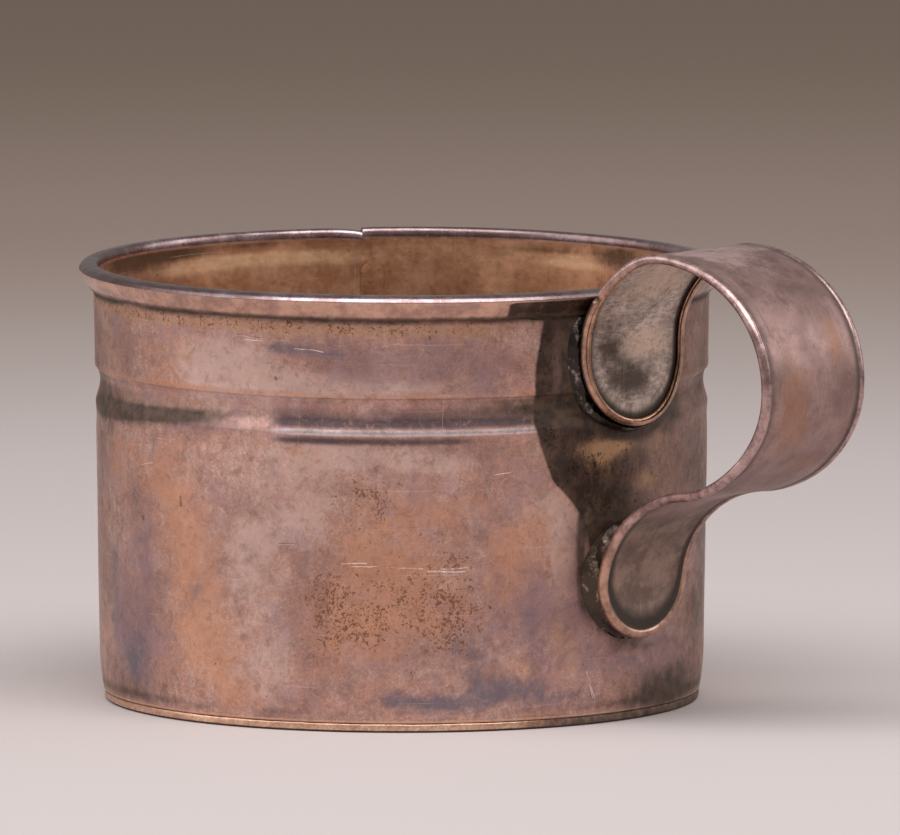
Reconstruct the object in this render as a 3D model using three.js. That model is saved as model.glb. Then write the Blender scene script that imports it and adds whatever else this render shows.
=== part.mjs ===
// A sheet-copper mug: a soldered cylinder with a wired rim and a swaged channel, a pan base,
// and an ear-shaped strap handle with a wired edge, soldered on by its two rounded tongues.
// Millimetres, +Z up. The origin is the centre of the base's underside and +X points to the handle.
import * as THREE from 'three';
import { mergeVertices } from 'three/addons/utils/BufferGeometryUtils.js';

// ---------------------------------------------------------------- driving dimensions

const AROUND = 60; // facets round the mug
const GAP = 0.3; // clearance between the base and the wall that sits in it

// wall
const SHEET = 0.7;
const FOOT_RADIUS = 41.6; // the straight taper, carried down to the table
const WALL_TAPER = 0.0172; // radius gained per millimetre of height
const CURL_HEIGHT = 7.5; // the foot curls in over this height
const CURL_DEPTH = 0.75;
const WALL_BOTTOM = 1.05;
const JOGGLE_TOP = 1.75; // below this the wall steps in behind the base's edge

// swaged channel under the rim
const CHANNEL_LOW = 41.2;
const CHANNEL_HIGH = 46.1;
const CHANNEL_DEPTH = 0.65;

// rolled rim
const RIM_RADIUS = 44.5; // the sharp crease is the widest point of the mug
const CREASE_Z = 59.6;
const RIM_TOP_Z = 60.45;
const SKIRT_LOW_Z = 56.9;
const ROLL_SHEET = 0.45;
const SKIRT_GAP = 0.26; // the open slot between the skirt's lower edge and the wall
const RIM_WIRE_RADIUS = 0.38;

// base
const BASE_RADIUS = 41.0;
const BASE_SHEET = 0.75;
const BASE_EDGE_SHEET = 0.45;
const BASE_EDGE_HEIGHT = 1.3;

// handle strap, in the plane y = 0: x is the distance from the mug's axis
const STRAP_SHEET = 0.38;
const EDGE_WIRE_RADIUS = 0.34;
const ROLL_INNER = 0.4;
const ROLL_OUTER = ROLL_INNER + STRAP_SHEET;
const WEB_FINGER_FACE = 0.2; // height of the web's finger side above the edge wire's centre
const WEB_OUTER_FACE = WEB_FINGER_FACE + STRAP_SHEET;
const WEB_START = 1.6; // the flat web begins this far inside the edge wire
const UPPER_REACH = 43.7;
const UPPER_TIP_Z = 41.6;
const UPPER_BEND_Z = 52;
const CREST = [56, 65.5];
const OUTERMOST = [75.5, 48.6];
const WAIST = [59.4, 33.1];
const WAIST_SLOPE = 0.09; // radians
const LOWER_REACH = 44.2;
const LOWER_BEND_Z = 18;
// how far the strap holds its direction before and after each of those points
const UPPER_BEND_PULL = 6.5;
const CREST_PULL = [6.9, 10.1];
const OUTERMOST_PULL = [10.5, 9];
const WAIST_PULL = [6.7, 8.1];
const LOWER_BEND_PULL = 8.4;
const LOWER_TIP_Z = 12.4;
const UPPER_HALF_WIDTH = 9.55; // to the edge wire's centre
const LOWER_HALF_WIDTH = 8.05;
const WIDENING = [24, 40]; // the strap widens between these distances from its lower tip
const DISH_END = [12, 24]; // the upper tongue's dish fades out between these distances from its tip

// solder
const SOLDER_GAP = 0.13;
const SEAM_ANGLE = THREE.MathUtils.degToRad(137.7); // the wall's lap seam, from +X
const SEAM_HALF_WIDTH = 1.7;
const SEAM_THICKNESS = 0.3;

// ---------------------------------------------------------------- shared helpers

const { lerp, smoothstep, clamp } = THREE.MathUtils;

// Straight taper, the channel and the curled foot.
function bodyRadius(z) {
  const taper = FOOT_RADIUS + WALL_TAPER * z;
  const across = clamp((z - CHANNEL_LOW) / (CHANNEL_HIGH - CHANNEL_LOW), 0, 1);
  const channel = CHANNEL_DEPTH * Math.pow(Math.sin(Math.PI * across), 0.8);
  const curl = CURL_DEPTH * Math.pow(clamp(1 - z / CURL_HEIGHT, 0, 1), 2);
  return taper - channel - curl;
}

function steps(from, to, count) {
  return Array.from({ length: count + 1 }, (_, i) => lerp(from, to, i / count));
}

const CHANNEL_HEIGHTS = steps(CHANNEL_LOW, CHANNEL_HIGH, 6);

// A body of revolution about Z. The outline is a list of [radius, height] that starts and ends
// on the axis, or closes on itself.
function turned(outline) {
  const points = outline.map(([r, z]) => new THREE.Vector2(r, z));
  const geometry = new THREE.LatheGeometry(points, AROUND);
  geometry.rotateX(Math.PI / 2);
  return closedBody(geometry);
}

// Welds a surface, drops its zero-area triangles and turns its faces outward.
function closedBody(source) {
  const bare = new THREE.BufferGeometry();
  bare.setAttribute('position', source.getAttribute('position'));
  bare.setIndex(source.getIndex());
  const welded = mergeVertices(bare, 1e-4);
  const at = (i) => new THREE.Vector3().fromBufferAttribute(welded.getAttribute('position'), i);
  const index = welded.getIndex().array;
  const kept = [];
  let volume = 0;
  for (let i = 0; i < index.length; i += 3) {
    const [a, b, c] = [index[i], index[i + 1], index[i + 2]];
    if (a !== b && b !== c && c !== a) {
      kept.push(a, b, c);
      volume += at(a).dot(at(b).cross(at(c)));
    }
  }
  welded.setIndex(volume < 0 ? kept.reverse() : kept);
  welded.computeVertexNormals();
  return welded;
}

// A skin over a row of rings with the same number of points. Each ring closes on itself. The row
// either joins its own start (loop) or ends in rings that have collapsed flat.
function skin(rings, loop = false) {
  const size = rings[0].length;
  const positions = rings.flat().flatMap((p) => [p.x, p.y, p.z]);
  const index = [];
  const last = loop ? rings.length : rings.length - 1;
  for (let i = 0; i < last; i += 1) {
    const next = (i + 1) % rings.length;
    for (let j = 0; j < size; j += 1) {
      const k = (j + 1) % size;
      const [a, b] = [i * size + j, i * size + k];
      const [c, d] = [next * size + k, next * size + j];
      index.push(a, b, c, a, c, d);
    }
  }
  const geometry = new THREE.BufferGeometry();
  geometry.setAttribute('position', new THREE.Float32BufferAttribute(positions, 3));
  geometry.setIndex(index);
  return closedBody(geometry);
}

// ---------------------------------------------------------------- mug body

function wallGeometry() {
  const outside = [
    ...steps(JOGGLE_TOP, CURL_HEIGHT, 4),
    ...CHANNEL_HEIGHTS,
    SKIRT_LOW_Z,
  ];
  const tuck = BASE_RADIUS - BASE_EDGE_SHEET - GAP;
  const mouth = bodyRadius(SKIRT_LOW_Z);
  const inside = [JOGGLE_TOP + SHEET, ...outside.slice(1)].reverse();
  return turned([
    [tuck, WALL_BOTTOM],
    [tuck, JOGGLE_TOP - GAP],
    ...outside.map((z) => [bodyRadius(z), z]),
    // inside of the roll, round the wire
    [mouth, RIM_TOP_Z - 2 * ROLL_SHEET],
    [mouth + 0.2, RIM_TOP_Z - ROLL_SHEET],
    [RIM_RADIUS - 0.65, CREASE_Z - 0.25],
    [mouth + SKIRT_GAP, SKIRT_LOW_Z - 0.05],
    // skirt, crease and rounded top
    [mouth + SKIRT_GAP + 0.7 * ROLL_SHEET, SKIRT_LOW_Z],
    [RIM_RADIUS - 0.06, CREASE_Z - 0.2],
    [RIM_RADIUS, CREASE_Z],
    [RIM_RADIUS - 0.7, RIM_TOP_Z - 0.36],
    [RIM_RADIUS - 1.35, RIM_TOP_Z - 0.06],
    [mouth + 0.05, RIM_TOP_Z],
    [mouth - 0.5, RIM_TOP_Z - 0.25],
    [mouth - SHEET, RIM_TOP_Z - 0.95],
    ...inside.map((z) => [bodyRadius(z) - SHEET, z]),
    [tuck - SHEET, JOGGLE_TOP - 0.1],
    [tuck - SHEET, WALL_BOTTOM],
    [tuck, WALL_BOTTOM],
  ]);
}

function rimWireGeometry() {
  const centre = new THREE.Vector2(bodyRadius(SKIRT_LOW_Z) + 0.51, RIM_TOP_Z - 1.24);
  const sides = 6;
  const outline = steps(0, 2 * Math.PI, sides).map((angle) => [
    centre.x + RIM_WIRE_RADIUS * Math.cos(angle),
    centre.y + RIM_WIRE_RADIUS * Math.sin(angle),
  ]);
  outline[sides] = outline[0];
  return turned(outline);
}

function basePanGeometry() {
  const corner = 0.45;
  const bend = steps(-Math.PI / 2, 0, 3).map((angle) => [
    BASE_RADIUS - corner + corner * Math.cos(angle),
    corner + corner * Math.sin(angle),
  ]);
  return turned([
    [0, 0],
    ...bend,
    [BASE_RADIUS, BASE_EDGE_HEIGHT],
    [BASE_RADIUS - BASE_EDGE_SHEET, BASE_EDGE_HEIGHT],
    [BASE_RADIUS - BASE_EDGE_SHEET, BASE_SHEET],
    [0, BASE_SHEET],
  ]);
}

function baseSolderGeometry() {
  const outer = BASE_RADIUS - BASE_EDGE_SHEET - GAP - SHEET - SOLDER_GAP;
  const floor = BASE_SHEET + SOLDER_GAP;
  const leg = 1.6;
  const hollow = steps(0, Math.PI / 2, 3).map((angle) => [
    outer - leg + leg * (1 - Math.cos(angle)),
    floor + leg * (1 - Math.sin(Math.PI / 2 - angle)),
  ]);
  return turned([[outer, floor], ...hollow, [outer, floor]]);
}

function seamSolderGeometry() {
  const low = 3.2;
  const high = 56.5;
  const across = [-1, -0.6, 0, 0.6, 1];
  const heights = [
    ...steps(low, CHANNEL_LOW, 6),
    ...CHANNEL_HEIGHTS.slice(1),
    ...steps(CHANNEL_HIGH, high, 3).slice(1),
  ];
  const rings = heights.map((z) => {
    const feather = clamp(Math.min(z - low, high - z) / 2, 0, 1);
    const place = (side, depth) => {
      const radius = bodyRadius(z) - SHEET - SOLDER_GAP - depth;
      const angle = SEAM_ANGLE + (side * feather * SEAM_HALF_WIDTH) / radius;
      return new THREE.Vector3(radius * Math.cos(angle), radius * Math.sin(angle), z);
    };
    const back = across.map((side) => place(side, 0));
    const front = across.slice(1, -1).map((side) => {
      return place(side, SEAM_THICKNESS * feather * (1 - side * side));
    });
    return [...back, ...front.reverse()];
  });
  return skin(rings);
}

// ---------------------------------------------------------------- handle

// The line of the edge wire seen from the side, from the upper tip over the arch to the lower tip.
function handleLine() {
  const point = (x, z) => new THREE.Vector2(x, z);
  const bend = (from, leave, arrive, to) => new THREE.CubicBezierCurve(from, leave, arrive, to);
  const upperTip = point(UPPER_REACH, UPPER_TIP_Z);
  const upperBend = point(UPPER_REACH, UPPER_BEND_Z);
  const crest = point(...CREST);
  const outermost = point(...OUTERMOST);
  const waist = point(...WAIST);
  const lowerBend = point(LOWER_REACH, LOWER_BEND_Z);
  const lowerTip = point(LOWER_REACH, LOWER_TIP_Z);
  const up = point(0, 1);
  const out = point(1, 0);
  const rise = point(Math.cos(WAIST_SLOPE), Math.sin(WAIST_SLOPE));
  const off = (from, direction, distance) => from.clone().addScaledVector(direction, distance);

  const line = new THREE.CurvePath();
  line.add(new THREE.LineCurve(upperTip, upperBend));
  line.add(bend(upperBend, off(upperBend, up, UPPER_BEND_PULL), off(crest, out, -CREST_PULL[0]), crest));
  line.add(bend(crest, off(crest, out, CREST_PULL[1]), off(outermost, up, OUTERMOST_PULL[0]), outermost));
  line.add(bend(outermost, off(outermost, up, -OUTERMOST_PULL[1]), off(waist, rise, WAIST_PULL[0]), waist));
  line.add(bend(waist, off(waist, rise, -WAIST_PULL[1]), off(lowerBend, up, LOWER_BEND_PULL), lowerBend));
  line.add(new THREE.LineCurve(lowerBend, lowerTip));
  return line;
}

const LINE = handleLine();
const LINE_LENGTH = LINE.getLength();

// Half the strap's width at a distance from the upper tip, without its rounded ends.
function halfWidth(distance) {
  const fromLowerTip = LINE_LENGTH - distance;
  return lerp(LOWER_HALF_WIDTH, UPPER_HALF_WIDTH, smoothstep(fromLowerTip, ...WIDENING));
}

// One side of the edge wire's loop in the flat pattern: where it runs and which way is outboard.
function edgeStations() {
  const endSteps = 6;
  const sideSteps = 34;
  const points = [];
  for (const angle of steps(0, Math.PI / 2, endSteps)) {
    const distance = UPPER_HALF_WIDTH * (1 - Math.cos(angle));
    points.push([distance, UPPER_HALF_WIDTH * Math.sin(angle)]);
  }
  const sideEnd = LINE_LENGTH - LOWER_HALF_WIDTH;
  for (const distance of steps(UPPER_HALF_WIDTH, sideEnd, sideSteps).slice(1, -1)) {
    points.push([distance, halfWidth(distance)]);
  }
  for (const angle of steps(Math.PI / 2, 0, endSteps)) {
    const distance = LINE_LENGTH - LOWER_HALF_WIDTH * (1 - Math.cos(angle));
    points.push([distance, LOWER_HALF_WIDTH * Math.sin(angle)]);
  }
  points[0][1] = 0;
  points[points.length - 1][1] = 0;
  return points.map(([distance, width], i) => {
    const before = points[i - 1] ?? [points[1][0], -points[1][1]];
    const after = points[i + 1] ?? [points[i - 1][0], -points[i - 1][1]];
    const along = new THREE.Vector2(after[0] - before[0], after[1] - before[1]).normalize();
    return { distance, width, outboard: new THREE.Vector2(-along.y, along.x) };
  });
}

// A point of the handle: outboard of the edge wire by n and above its centre by v, where above
// means towards the strap's outer face. side is 1 or -1.
function handlePoint(station, side, n, v) {
  const u = clamp(station.distance / LINE_LENGTH, 0, 1);
  const centre = LINE.getPoint(u);
  const along = LINE.getTangent(u);
  const lateral = station.width + n * station.outboard.y;
  const slide = n * station.outboard.x;
  const dish = 1 - smoothstep(station.distance, ...DISH_END);
  const lift = v + (dish * lateral * lateral) / (2 * UPPER_REACH);
  return new THREE.Vector3(
    centre.x + along.x * slide - along.y * lift,
    side * lateral,
    centre.y + along.y * slide + along.x * lift,
  );
}

// The rolled edge in section, from the web's finger face round the wire to the web's outer face.
function rollSection() {
  const innerStart = Math.PI - Math.asin(WEB_FINGER_FACE / ROLL_INNER);
  const outerEnd = Math.PI - Math.asin(WEB_OUTER_FACE / ROLL_OUTER);
  const edge = -Math.PI / 2;
  const arc = (radius, from, to, count) => steps(from, to, count).map((angle) => [
    radius * Math.cos(angle),
    radius * Math.sin(angle),
  ]);
  return [
    [-WEB_START, WEB_FINGER_FACE],
    ...arc(ROLL_INNER, innerStart, edge, 4),
    ...arc(ROLL_OUTER, edge, outerEnd, 7),
    [-WEB_START, WEB_OUTER_FACE],
  ];
}

function strapGeometry() {
  const section = rollSection();
  const webSteps = [0.3, 0.7];
  const rings = edgeStations().map((station) => {
    const near = section.map(([n, v]) => handlePoint(station, 1, n, v));
    const far = section.map(([n, v]) => handlePoint(station, -1, n, v));
    const web = (v) => webSteps.map((t) => {
      const inner = station.width - WEB_START * station.outboard.y;
      const lateral = lerp(inner, -inner, t);
      const flat = { ...station, width: lateral, outboard: new THREE.Vector2(station.outboard.x, 0) };
      return handlePoint(flat, 1, -WEB_START, v);
    });
    const outerWeb = web(WEB_OUTER_FACE);
    const fingerWeb = web(WEB_FINGER_FACE).reverse();
    return [...near, ...outerWeb, ...far.reverse(), ...fingerWeb];
  });
  return skin(rings);
}

function edgeWireGeometry() {
  const sides = 6;
  const around = steps(0, 2 * Math.PI, sides).slice(0, -1);
  const stations = edgeStations();
  const ring = (station, side) => around.map((angle) => {
    const n = EDGE_WIRE_RADIUS * Math.cos(angle);
    return handlePoint(station, side, n, EDGE_WIRE_RADIUS * Math.sin(angle));
  });
  const near = stations.map((station) => ring(station, 1));
  const far = stations.slice(1, -1).reverse().map((station) => ring(station, -1));
  return skin([...near, ...far], true);
}

// ---------------------------------------------------------------- handle solder

// A pad of solder on the wall. halfSpan gives its half width at a height, and top gives the
// distance of its outer surface from the axis; it feathers out to nothing all round.
function padGeometry(heights, halfSpan, top) {
  const across = steps(-1, 1, 12);
  const rings = heights.map((z) => {
    const span = halfSpan(z);
    const bottom = (y) => Math.sqrt(Math.pow(bodyRadius(z) + SOLDER_GAP, 2) - y * y);
    const back = across.map((t) => new THREE.Vector3(bottom(t * span), t * span, z));
    const front = across.slice(1, -1).map((t) => {
      const y = t * span;
      return new THREE.Vector3(Math.max(top(y, z), bottom(y)), y, z);
    });
    return span === 0 ? back.concat(back.slice(2)) : [...back, ...front.reverse()];
  });
  return skin(rings);
}

// How far a point of the wall lies outboard of a tongue's edge wire; negative is under the web.
function outboardOf(y, z, endCentreZ, endRadius, downward) {
  const beyond = downward ? Math.max(endCentreZ - z, 0) : 0;
  return Math.hypot(y, beyond) - endRadius;
}

function upperSolderGeometry() {
  const margin = 2;
  const centreZ = UPPER_TIP_Z + UPPER_HALF_WIDTH;
  const span = UPPER_HALF_WIDTH + margin;
  const low = centreZ - span;
  const high = 56.2;
  const shoulder = high - 2.5;
  const halfSpan = (z) => {
    if (z <= centreZ) return Math.sqrt(Math.max(span * span - (centreZ - z) ** 2, 0));
    return span * Math.sqrt(Math.max(1 - (Math.max(z - shoulder, 0) / (high - shoulder)) ** 2, 0));
  };
  const top = (y, z) => {
    const out = outboardOf(y, z, centreZ, UPPER_HALF_WIDTH, true);
    const underRoll = 1 - smoothstep(Math.abs(out), 0.9, 1.1);
    const bead = smoothstep(out, 0.9, 1.3) * (1 - smoothstep(out, 1.3, margin));
    const underWeb = 1 - smoothstep(out, -1.5, -0.9);
    const fade = smoothstep(high - z, 0, 2);
    const thickness = 0.16 * underRoll + 0.55 * bead + 0.28 * underWeb;
    return Math.sqrt((bodyRadius(z) + SOLDER_GAP + thickness * fade) ** 2 - y * y);
  };
  const heights = [
    low,
    ...steps(low + 0.2, CHANNEL_LOW, 3),
    ...CHANNEL_HEIGHTS.slice(1),
    ...steps(CHANNEL_HIGH, shoulder, 3).slice(1),
    ...steps(shoulder, high, 3).slice(1),
  ];
  return padGeometry(heights, (z) => (z === low || z === high ? 0 : halfSpan(z)), top);
}

function lowerSolderGeometry() {
  const margin = 1.2;
  const centreZ = LOWER_TIP_Z + LOWER_HALF_WIDTH;
  const span = LOWER_HALF_WIDTH + margin;
  const low = centreZ - span;
  const high = 27;
  const halfSpan = (z) => {
    if (z <= centreZ) return Math.sqrt(Math.max(span * span - (centreZ - z) ** 2, 0));
    return span * Math.sqrt(Math.max(1 - ((z - centreZ) / (high - centreZ)) ** 2, 0));
  };
  const rollClear = LOWER_REACH - ROLL_OUTER - 0.12;
  const webClear = LOWER_REACH + WEB_FINGER_FACE - 0.15;
  const top = (y, z) => {
    const out = outboardOf(y, z, centreZ, LOWER_HALF_WIDTH, true);
    const plateau = lerp(webClear, rollClear, smoothstep(out, -2, -1));
    const wall = Math.sqrt((bodyRadius(z) + SOLDER_GAP) ** 2 - y * y);
    const slope = 1 - smoothstep(out, 0, margin);
    const fade = 1 - smoothstep(z, centreZ + 1, high);
    return wall + Math.max(plateau - wall, 0) * slope * fade;
  };
  const ends = steps(0, Math.PI / 2, 6).map((a) => centreZ - span * Math.cos(a));
  const tops = steps(0, Math.PI / 2, 4).map((a) => centreZ + (high - centreZ) * Math.sin(a));
  const heights = [low, ...ends.slice(1), ...tops.slice(1, -1), high];
  return padGeometry(heights, (z) => (z === low || z === high ? 0 : halfSpan(z)), top);
}

// ---------------------------------------------------------------- assembly

function piece(name, geometry, colour, roughness, metalness) {
  const material = new THREE.MeshStandardMaterial({ color: colour, roughness, metalness });
  const mesh = new THREE.Mesh(geometry, material);
  mesh.name = name;
  return mesh;
}

const body = new THREE.Group();
body.add(piece('wall', wallGeometry(), 0xa67f70, 0.42, 0.9));
body.add(piece('rim_wire', rimWireGeometry(), 0x6b625c, 0.55, 0.8));
body.add(piece('base_pan', basePanGeometry(), 0xc18763, 0.4, 0.95));
body.add(piece('base_solder', baseSolderGeometry(), 0x7d7a74, 0.5, 0.7));
body.add(piece('wall_seam_solder', seamSolderGeometry(), 0x7f7b75, 0.5, 0.7));

const handle = new THREE.Group();
handle.add(piece('handle_strap', strapGeometry(), 0x8a7068, 0.45, 0.9));
handle.add(piece('handle_edge_wire', edgeWireGeometry(), 0xb98a6e, 0.4, 0.9));
handle.add(piece('solder_upper', upperSolderGeometry(), 0x3c3936, 0.35, 0.7));
handle.add(piece('solder_lower', lowerSolderGeometry(), 0x3c3936, 0.35, 0.7));

const group = new THREE.Group();
group.add(body, handle);

export default group;
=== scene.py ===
"""Looks for a sheet-copper mug: a worn wall with a rolled rim, a pan base and a wired strap handle.

Shapes are worked out in millimetres in the CAD's frame, +Z up and +X to the handle, and become
metres when a mesh is made. Azimuths are degrees about Z from +X.
"""
import math
from itertools import product

import bpy
import numpy as np
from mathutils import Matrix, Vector


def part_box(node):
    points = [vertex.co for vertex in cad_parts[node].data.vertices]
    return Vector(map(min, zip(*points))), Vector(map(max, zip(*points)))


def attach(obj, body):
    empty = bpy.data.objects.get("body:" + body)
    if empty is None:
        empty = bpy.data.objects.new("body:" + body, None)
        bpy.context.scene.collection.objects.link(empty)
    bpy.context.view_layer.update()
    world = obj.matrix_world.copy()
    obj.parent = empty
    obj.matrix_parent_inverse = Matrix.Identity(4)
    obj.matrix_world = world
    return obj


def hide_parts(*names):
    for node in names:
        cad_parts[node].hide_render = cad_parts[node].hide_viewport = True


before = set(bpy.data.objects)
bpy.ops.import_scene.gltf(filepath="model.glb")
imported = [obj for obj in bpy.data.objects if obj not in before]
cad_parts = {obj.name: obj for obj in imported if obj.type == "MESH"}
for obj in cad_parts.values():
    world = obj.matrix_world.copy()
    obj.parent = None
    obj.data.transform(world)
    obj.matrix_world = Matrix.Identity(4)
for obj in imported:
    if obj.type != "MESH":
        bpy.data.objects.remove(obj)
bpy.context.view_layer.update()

MM = 0.001

# ------------------------------------------------------------------ dimensions, as in the CAD model

SHEET = 0.7
FOOT_RADIUS = 41.6
WALL_TAPER = 0.0172
CURL_HEIGHT = 7.5
CURL_DEPTH = 0.75
WALL_BOTTOM = 1.05
JOGGLE_TOP = 1.75
CHANNEL_LOW = 41.2
CHANNEL_HIGH = 46.1
CHANNEL_DEPTH = 0.65
SKIRT_LOW_Z = 56.9
CREASE_BELOW_TOP = 0.85
BASE_SHEET = 0.75
BASE_EDGE_SHEET = 0.45
GAP = 0.3
RIM_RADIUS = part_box("wall")[1].x / MM
RIM_TOP_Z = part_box("wall")[1].z / MM
BASE_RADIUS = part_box("base_pan")[1].x / MM

SEAM_AZIMUTH = 137.7
SEAM_HEIGHTS = (3.2, 56.5)
SOLDER_GAP = 0.13
MEAN_RADIUS = 42  # about the wall's, for noise on it and for places beside the tongues
LIP_RADIUS = 44  # about the lip's, for noise along it

STRAP_SHEET = 0.38
EDGE_WIRE_RADIUS = 0.34
ROLL_INNER = 0.4
ROLL_OUTER = ROLL_INNER + STRAP_SHEET
WEB_FINGER_FACE = 0.2
WEB_OUTER_FACE = WEB_FINGER_FACE + STRAP_SHEET
WEB_START = 2.3  # the flat web begins this far inside the edge wire
UPPER_HALF_WIDTH = 9.55
LOWER_HALF_WIDTH = 8.05
WIDENING = (24, 40)
DISH_END = (12, 24)
UPPER_TIP = (43.7, 41.6)
UPPER_BEND = (43.7, 52)
CREST = (56, 65.5)
OUTERMOST = (75.5, 48.6)
WAIST = (59.4, 33.1)
LOWER_BEND = (44.2, 18)
LOWER_TIP = (44.2, 12.4)
WAIST_DIRECTION = (math.cos(0.09), math.sin(0.09))


# ------------------------------------------------------------------ small helpers

def smooth(value, low, high):
    """0 below low, 1 above high and an S-curve between."""
    part = np.clip((np.asarray(value, float) - low) / (high - low), 0, 1)
    return part * part * (3 - 2 * part)


def between(value, *limits):
    """0 outside the first and the last of four limits, 1 from the second to the third."""
    return smooth(value, *limits[:2]) * (1 - smooth(value, *limits[2:]))


def ridge(value, centre, width):
    """1 at centre, falling away smoothly on both sides over about width."""
    return np.exp(-((value - centre) / width) ** 2)


def lerp(start, end, share):
    return start + (end - start) * share


def soft_noise(points, size, seed):
    """Smooth noise from -1 to 1 whose lumps are about `size` mm across, the same in every run."""
    count = 32
    lattice = np.random.default_rng(seed).uniform(-1, 1, (count, count, count))
    cells = np.asarray(points, float) / size + 1000
    low = np.floor(cells).astype(int)
    part = cells - low
    part = part * part * (3 - 2 * part)
    total = np.zeros(cells.shape[:-1])
    for corner in product((0, 1), repeat=3):
        weight = np.prod(np.where(np.array(corner) == 1, part, 1 - part), axis=-1)
        i, j, k = np.moveaxis((low + corner) % count, -1, 0)
        total += weight * lattice[i, j, k]
    return total


def round_about(radius, azimuth, height):
    """Points on circles about Z. The three inputs are arrays that broadcast together."""
    angle = np.radians(azimuth)
    return np.stack(np.broadcast_arrays(radius * np.cos(angle), radius * np.sin(angle), height), -1)


def spread(*stops):
    """Numbers that run through stops in even steps: start, then (end, step) pairs."""
    values = [np.array([stops[0]], float)]
    for end, step in stops[1:]:
        start = values[-1][-1]
        count = max(1, round(abs(end - start) / step))
        values.append(np.linspace(start, end, count + 1)[1:])
    return np.concatenate(values)


def curve(start, leave, arrive, end, count):
    """A cubic Bezier curve without its first point."""
    t = np.linspace(0, 1, count + 1)[1:, None]
    start, leave, arrive, end = map(np.array, (start, leave, arrive, end))
    return ((1 - t) ** 3 * start + 3 * (1 - t) ** 2 * t * leave
            + 3 * (1 - t) * t ** 2 * arrive + t ** 3 * end)


def solid(name, points, replaced, finish, fields=None, loop=False):
    """A closed mesh over a grid of points: each row is a ring, and the rows are joined in order.

    Points that coincide become one vertex. fields are numbers or vectors for each grid point
    that the material reads.
    """
    rows, columns = points.shape[:2]
    flat = points.reshape(-1, 3)
    _, first, merged = np.unique(np.round(flat, 4), axis=0, return_index=True, return_inverse=True)
    index = merged.reshape(rows, columns)
    beside = np.roll(index, -1, axis=1)
    above = np.roll(index, -1, axis=0)
    opposite = np.roll(beside, -1, axis=0)
    quads = np.stack((index, beside, opposite, above), -1)
    quads = (quads if loop else quads[:-1]).reshape(-1, 4)
    corners = flat[first]
    a, b, c, d = (corners[quads[:, k]] for k in range(4))
    volume = np.sum(a * np.cross(b, c)) + np.sum(a * np.cross(c, d))
    if volume < 0:
        quads = quads[:, ::-1]
    faces = []
    for quad in quads.tolist():
        face = list(dict.fromkeys(quad))
        if len(face) > 2:
            faces.append(face)
    mesh = bpy.data.meshes.new(name)
    mesh.from_pydata((corners * MM).tolist(), [], faces)
    for field, values in (fields or {}).items():
        vector = np.ndim(values) == 3
        values = np.broadcast_to(values, points.shape if vector else (rows, columns))
        attribute = mesh.attributes.new(field, "FLOAT_VECTOR" if vector else "FLOAT", "POINT")
        chosen = values.reshape(-1, 3)[first] if vector else values.reshape(-1)[first]
        attribute.data.foreach_set("vector" if vector else "value", chosen.astype(np.float32).ravel())
    mesh.validate()
    mesh.shade_smooth()
    mesh.set_sharp_from_angle(angle=math.radians(52))
    mesh.materials.append(finish)
    made = bpy.data.objects.new(name, mesh)
    bpy.context.scene.collection.objects.link(made)
    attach(made, "root")
    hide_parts(replaced)
    return made


# ------------------------------------------------------------------ node materials

def srgb(red, green, blue):
    """A screen colour from 0 to 255 as linear values."""
    def linear(value):
        value /= 255
        return value / 12.92 if value <= 0.04045 else ((value + 0.055) / 1.055) ** 2.4
    return (linear(red), linear(green), linear(blue))


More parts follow.
